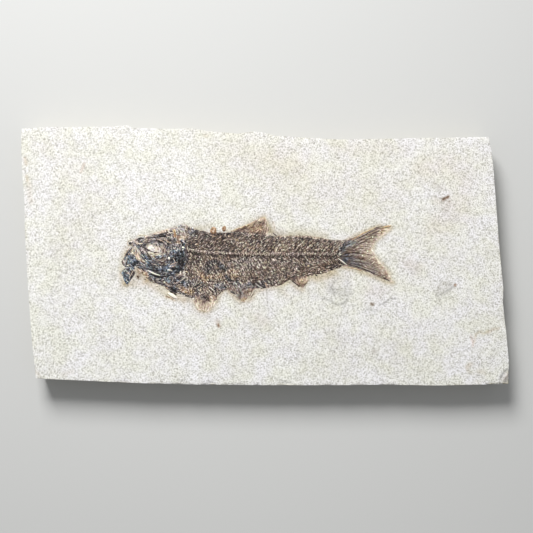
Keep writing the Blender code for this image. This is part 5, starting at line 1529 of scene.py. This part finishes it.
class FOSSIL_OT_backbone(bpy.types.Operator):
    """Build the row of waisted vertebrae"""
    bl_idname = "fossil.backbone"
    bl_label = "Backbone"

    def execute(self, context):
        bm = bmesh.new()
        layers = tint_layers(bm)
        spool = self.spool()
        chance = np.random.default_rng(5)
        for x, y in zip(*vertebra_places()):
            slope = float(back_line(x + 0.5) - back_line(x - 0.5))
            turn = Matrix.Rotation(math.atan(slope) + chance.normal(0, 0.05), 4, "Z")
            size = chance.uniform(0.92, 1.06)
            tone = chance.uniform(0.33, 0.46) - 0.05 * float(step(-14, -4, x))
            tan = chance.uniform(0.0, 0.2)
            made = add_mesh(bm, spool)
            for vertex in made:
                rim = step(0.55, 0.7, abs(vertex.co.x))
                # Paler rims at both ends, and painted shade darkening the lower side of each vertebra
                vertex[layers["tone"]] = tone + 0.2 * rim - 0.14 * step(-0.1, -0.5, vertex.co.y)
                vertex[layers["tan"]] = tan
                vertex[layers["blue"]] = 0.14
                vertex[layers["flow"]] = (vertex.co.x + x, vertex.co.y * 3, 0)
            bmesh.ops.transform(bm, verts=made, matrix=Matrix.Translation((x, y, 0.3)) @ turn
                                @ Matrix.Diagonal((size, 1.4 * size, 0.8 * size, 1)))
        finish_piece(bm, "vertebrae", [film_finish()], ["backbone"])
        return {"FINISHED"}

    def spool(self):
        """One vertebra: a waisted spool along X, turned from its profile."""
        part = bmesh.new()
        profile = [(-0.8, 0.0), (-0.8, 0.5), (-0.68, 0.6), (-0.45, 0.5), (-0.15, 0.43), (0.15, 0.43),
                   (0.45, 0.5), (0.68, 0.6), (0.8, 0.5), (0.8, 0.0)]
        points = [part.verts.new((x, 0, radius)) for x, radius in profile]
        edges = [part.edges.new(pair) for pair in zip(points, points[1:])]
        bmesh.ops.spin(part, geom=points + edges, axis=(1, 0, 0), cent=(0, 0, 0), angle=math.tau,
                       steps=12, use_merge=True)
        bmesh.ops.remove_doubles(part, verts=part.verts, dist=1e-4)
        bmesh.ops.recalc_face_normals(part, faces=part.faces)
        return mesh_from(part, "spool")


class FOSSIL_OT_skull(BoneSheets, bpy.types.Operator):
    """Build the skull roof, snout and cheek round the eye socket"""
    bl_idname = "fossil.skull"
    bl_label = "Skull"
    sheets = [("skull", "skull_bones", enamel_finish, "brown_bone")]


class FOSSIL_OT_gill_cover(BoneSheets, bpy.types.Operator):
    """Build the blue-black gill cover and the slender rays below it"""
    bl_idname = "fossil.gill_cover"
    bl_label = "Gill cover and throat"
    sheets = [("gill_cover", "gill_cover_bone", enamel_finish, "dark_bone"),
              ("throat_rays", "throat_ray_bones", enamel_finish, "dark_bone")]


class FOSSIL_OT_jaws(BoneSheets, bpy.types.Operator):
    """Build the upper and the lower jaw"""
    bl_idname = "fossil.jaws"
    bl_label = "Jaws"
    sheets = [("upper_jaw", "upper_jaw_bone", enamel_finish, "dark_bone"),
              ("lower_jaw", "lower_jaw_bone", enamel_finish, "dark_bone")]


def run_length(curve):
    """The length of an open curve."""
    return sum(math.dist(a, b) for a, b in zip(curve, curve[1:]))


class FOSSIL_OT_fins(bpy.types.Operator):
    """Build the five fins as fans of rays"""
    bl_idname = "fossil.fins"
    bl_label = "Fins"

    def execute(self, context):
        for node, form in FIN_FORMS.items():
            self.build(context.scene.fossil_fish, node, *form)
        return {"FINISHED"}

    def build(self, settings, node, rays, tone, blue, tan, fade, onset):
        """Builds one fin: a thin sheet ridged along its rays, with broken rays lying on it."""
        curves = FINS[node]
        across = max(run_length(curves["tip"]), run_length(curves["base"]))
        along = max(run_length(curves["front"]), run_length(curves["rear"]))

        def shape(p, q):
            u, v = p / across, q / along
            x, y = patch(curves, np.clip(u, 0, 1), np.clip(v, -0.05, 1)).T
            free, height = film(x, y)
            rise, tints = skin(x, y, free)
            wander = u * rays + 0.35 * grain(x, y, 1.4, 91)
            ridge = np.cos(math.tau * wander)
            pale = step(onset, 1.05, v + 0.1 * grain(x, y, 1.2, 92)) + 0.5 * step(1.0, 0.1, free)
            height = height + rise + 0.04 * ridge - 0.1 * v - 0.25 * step(0.04, -0.05, v)
            # Paler near the free edge: painted light that lifts the shade on the film's sloping edge
            shift_tints(tints, tone + 0.06 * ridge * (1 - v) + 0.1 * step(0.9, 0.1, free), blue, tan)
            shift_tints(tints, 1.0, 0.0, 0.5, fade * pale)
            return x, y, height, free > -0.5, tints, (wander * 0.62, q)

        bm = bmesh.new()
        add_sheet(bm, (0.0, -0.05 * along), (across, along), settings.cell / MM, shape,
                  -settings.floor / MM)
        chance = np.random.default_rng(len(node))
        rows = []
        for number in range(2 * rays):
            u = (number // 2 + 0.5 + chance.uniform(-0.15, 0.15)) / rays
            start = chance.uniform(0.0, 0.3) if number % 2 else chance.uniform(0.35, 0.6)
            end = min(start + chance.uniform(0.3, 0.6), 0.94)
            points = patch(curves, u, np.linspace(start, end, 5))
            shade = chance.uniform(0.06, 0.2) * (1 if chance.random() < 0.45 else -1)
            worn = float(step(onset, 1.05, (start + end) / 2))
            rows.append((chance.uniform(0.08, 0.15), shade * (1 - 0.6 * worn) + tone + fade * worn, blue,
                         chance.uniform(0.0, 0.15) + 0.5 * fade * worn, points))
        add_splints(bm, rows, 5, is_relative=True)
        finish_piece(bm, f"{node}_rays", [ray_finish()], [node])


class FOSSIL_OT_scales(bpy.types.Operator):
    """Build the two shed scales above the back"""
    bl_idname = "fossil.scales"
    bl_label = "Loose scales"

    def execute(self, context):
        settings = context.scene.fossil_fish
        for node, (middle_x, middle_y, half_width, half_height) in LOOSE_SCALES.items():
            reach = min(half_width, half_height)

            def shape(x, y):
                dx, dy = (x - middle_x) / half_width, (y - middle_y) / half_height
                own = (1 - np.hypot(dx, dy)) * reach + 0.12 * grain(x, y, 0.7, 96)
                rings = np.sin(np.hypot(dx, dy) * 12)
                height = -0.22 + 0.3 * step(-0.3, 0.2, own) + 0.08 * step(0, 0.8, own) + 0.02 * rings
                thick = step(0.3, 1.1, own)
                # Darker over each scale's lower side: painted shade
                tints = {"tone": 0.44 + 0.04 * rings + 0.14 * grain(x, y, 0.5, 97) + 0.16 * thick
                                 - 0.08 * step(0.3, -0.1, own) - 0.22 * step(-0.1, -0.8, dy),
                         "blue": np.zeros_like(x), "tan": 0.8 - 0.35 * thick}
                return x, y, height, own > -0.35, tints, (x, y * 2)

            bm = bmesh.new()
            add_sheet(bm, (middle_x - half_width - 0.4, middle_y - half_height - 0.4),
                      (middle_x + half_width + 0.4, middle_y + half_height + 0.4),
                      0.6 * settings.cell / MM, shape, -settings.floor / MM)
            finish_piece(bm, f"{node}_disc", [ray_finish()], [node])
        return {"FINISHED"}


# ---- The studio

VIEW_CENTRE = Vector((0.64, -4.05, PLATE_TOP)) * MM
SENSOR_MM = 36.0
NEAREST_VIEW = 0.01
KEY_PLACE = Vector((-0.2, 0.55, 0.5))
KEY_SIZE = 0.32
KEY_SPREAD = math.radians(110)


class FOSSIL_OT_studio(bpy.types.Operator):
    """Build the floor, the lights and the camera"""
    bl_idname = "fossil.studio"
    bl_label = "Studio"

    def execute(self, context):
        scene = context.scene
        settings = scene.fossil_studio
        bm = bmesh.new()
        bmesh.ops.create_grid(bm, x_segments=1, y_segments=1, size=3.0)
        floor = add_object("floor", mesh_from(bm, "floor"))
        floor.data.materials.append(shared("backdrop_board", plain_material, settings.floor, 0.9))

        lamp = bpy.data.lights.new("key", "AREA")
        lamp.energy = settings.key_power
        lamp.size = KEY_SIZE
        lamp.spread = KEY_SPREAD
        key = add_object("key", lamp)
        key.location = KEY_PLACE
        key.rotation_euler = (-KEY_PLACE).to_track_quat("-Z", "Y").to_euler()

        world = bpy.data.worlds.new("studio")
        world.use_nodes = True
        backdrop = world.node_tree.nodes["Background"]
        backdrop.inputs["Color"].default_value = linear("#F4F6F8")
        backdrop.inputs["Strength"].default_value = settings.fill
        scene.world = world

        lens = bpy.data.cameras.new("camera")
        lens.sensor_width = SENSOR_MM
        lens.lens = SENSOR_MM * settings.distance / settings.view_width
        lens.clip_start = NEAREST_VIEW
        scene.camera = add_object("camera", lens)
        scene.camera.location = VIEW_CENTRE + Vector((0, 0, settings.distance))
        scene.camera.rotation_euler = (0, 0, settings.roll)
        scene.view_settings.view_transform = "Standard"
        return {"FINISHED"}


class FOSSIL_PT_panel(bpy.types.Panel):
    """Lists the fossil plate's pieces"""
    bl_idname = "FOSSIL_PT_panel"
    bl_label = "Fossil plate"
    bl_space_type = "VIEW_3D"
    bl_region_type = "UI"
    bl_category = "Fossil"

    def draw(self, context):
        for group in SETTINGS:
            settings = getattr(context.scene, group)
            for name in settings.__annotations__:
                self.layout.prop(settings, name)
        for operator in OPERATORS:
            self.layout.operator(operator.bl_idname)


OPERATORS = [FOSSIL_OT_studio, FOSSIL_OT_plate, FOSSIL_OT_flank, FOSSIL_OT_ribs, FOSSIL_OT_backbone,
             FOSSIL_OT_skull, FOSSIL_OT_gill_cover, FOSSIL_OT_jaws, FOSSIL_OT_fins, FOSSIL_OT_scales,
             FOSSIL_OT_hair_bones, FOSSIL_OT_single_bones]
SETTINGS = {"fossil_plate": PlateSettings, "fossil_fish": FishSettings, "fossil_studio": StudioSettings}
CLASSES = [*SETTINGS.values(), *OPERATORS, FOSSIL_PT_panel]


def register():
    """Registers the classes and puts the settings on the scene."""
    for item in CLASSES:
        bpy.utils.register_class(item)
    for name, group in SETTINGS.items():
        setattr(bpy.types.Scene, name, PointerProperty(type=group))


def unregister():
    """Takes the settings and the classes away again."""
    for name in SETTINGS:
        delattr(bpy.types.Scene, name)
    for item in reversed(CLASSES):
        bpy.utils.unregister_class(item)


def main():
    """Builds every piece in order."""
    register()
    for operator in OPERATORS:
        group, name = operator.bl_idname.split(".")
        getattr(getattr(bpy.ops, group), name)()


if __name__ == "__main__":
    main()
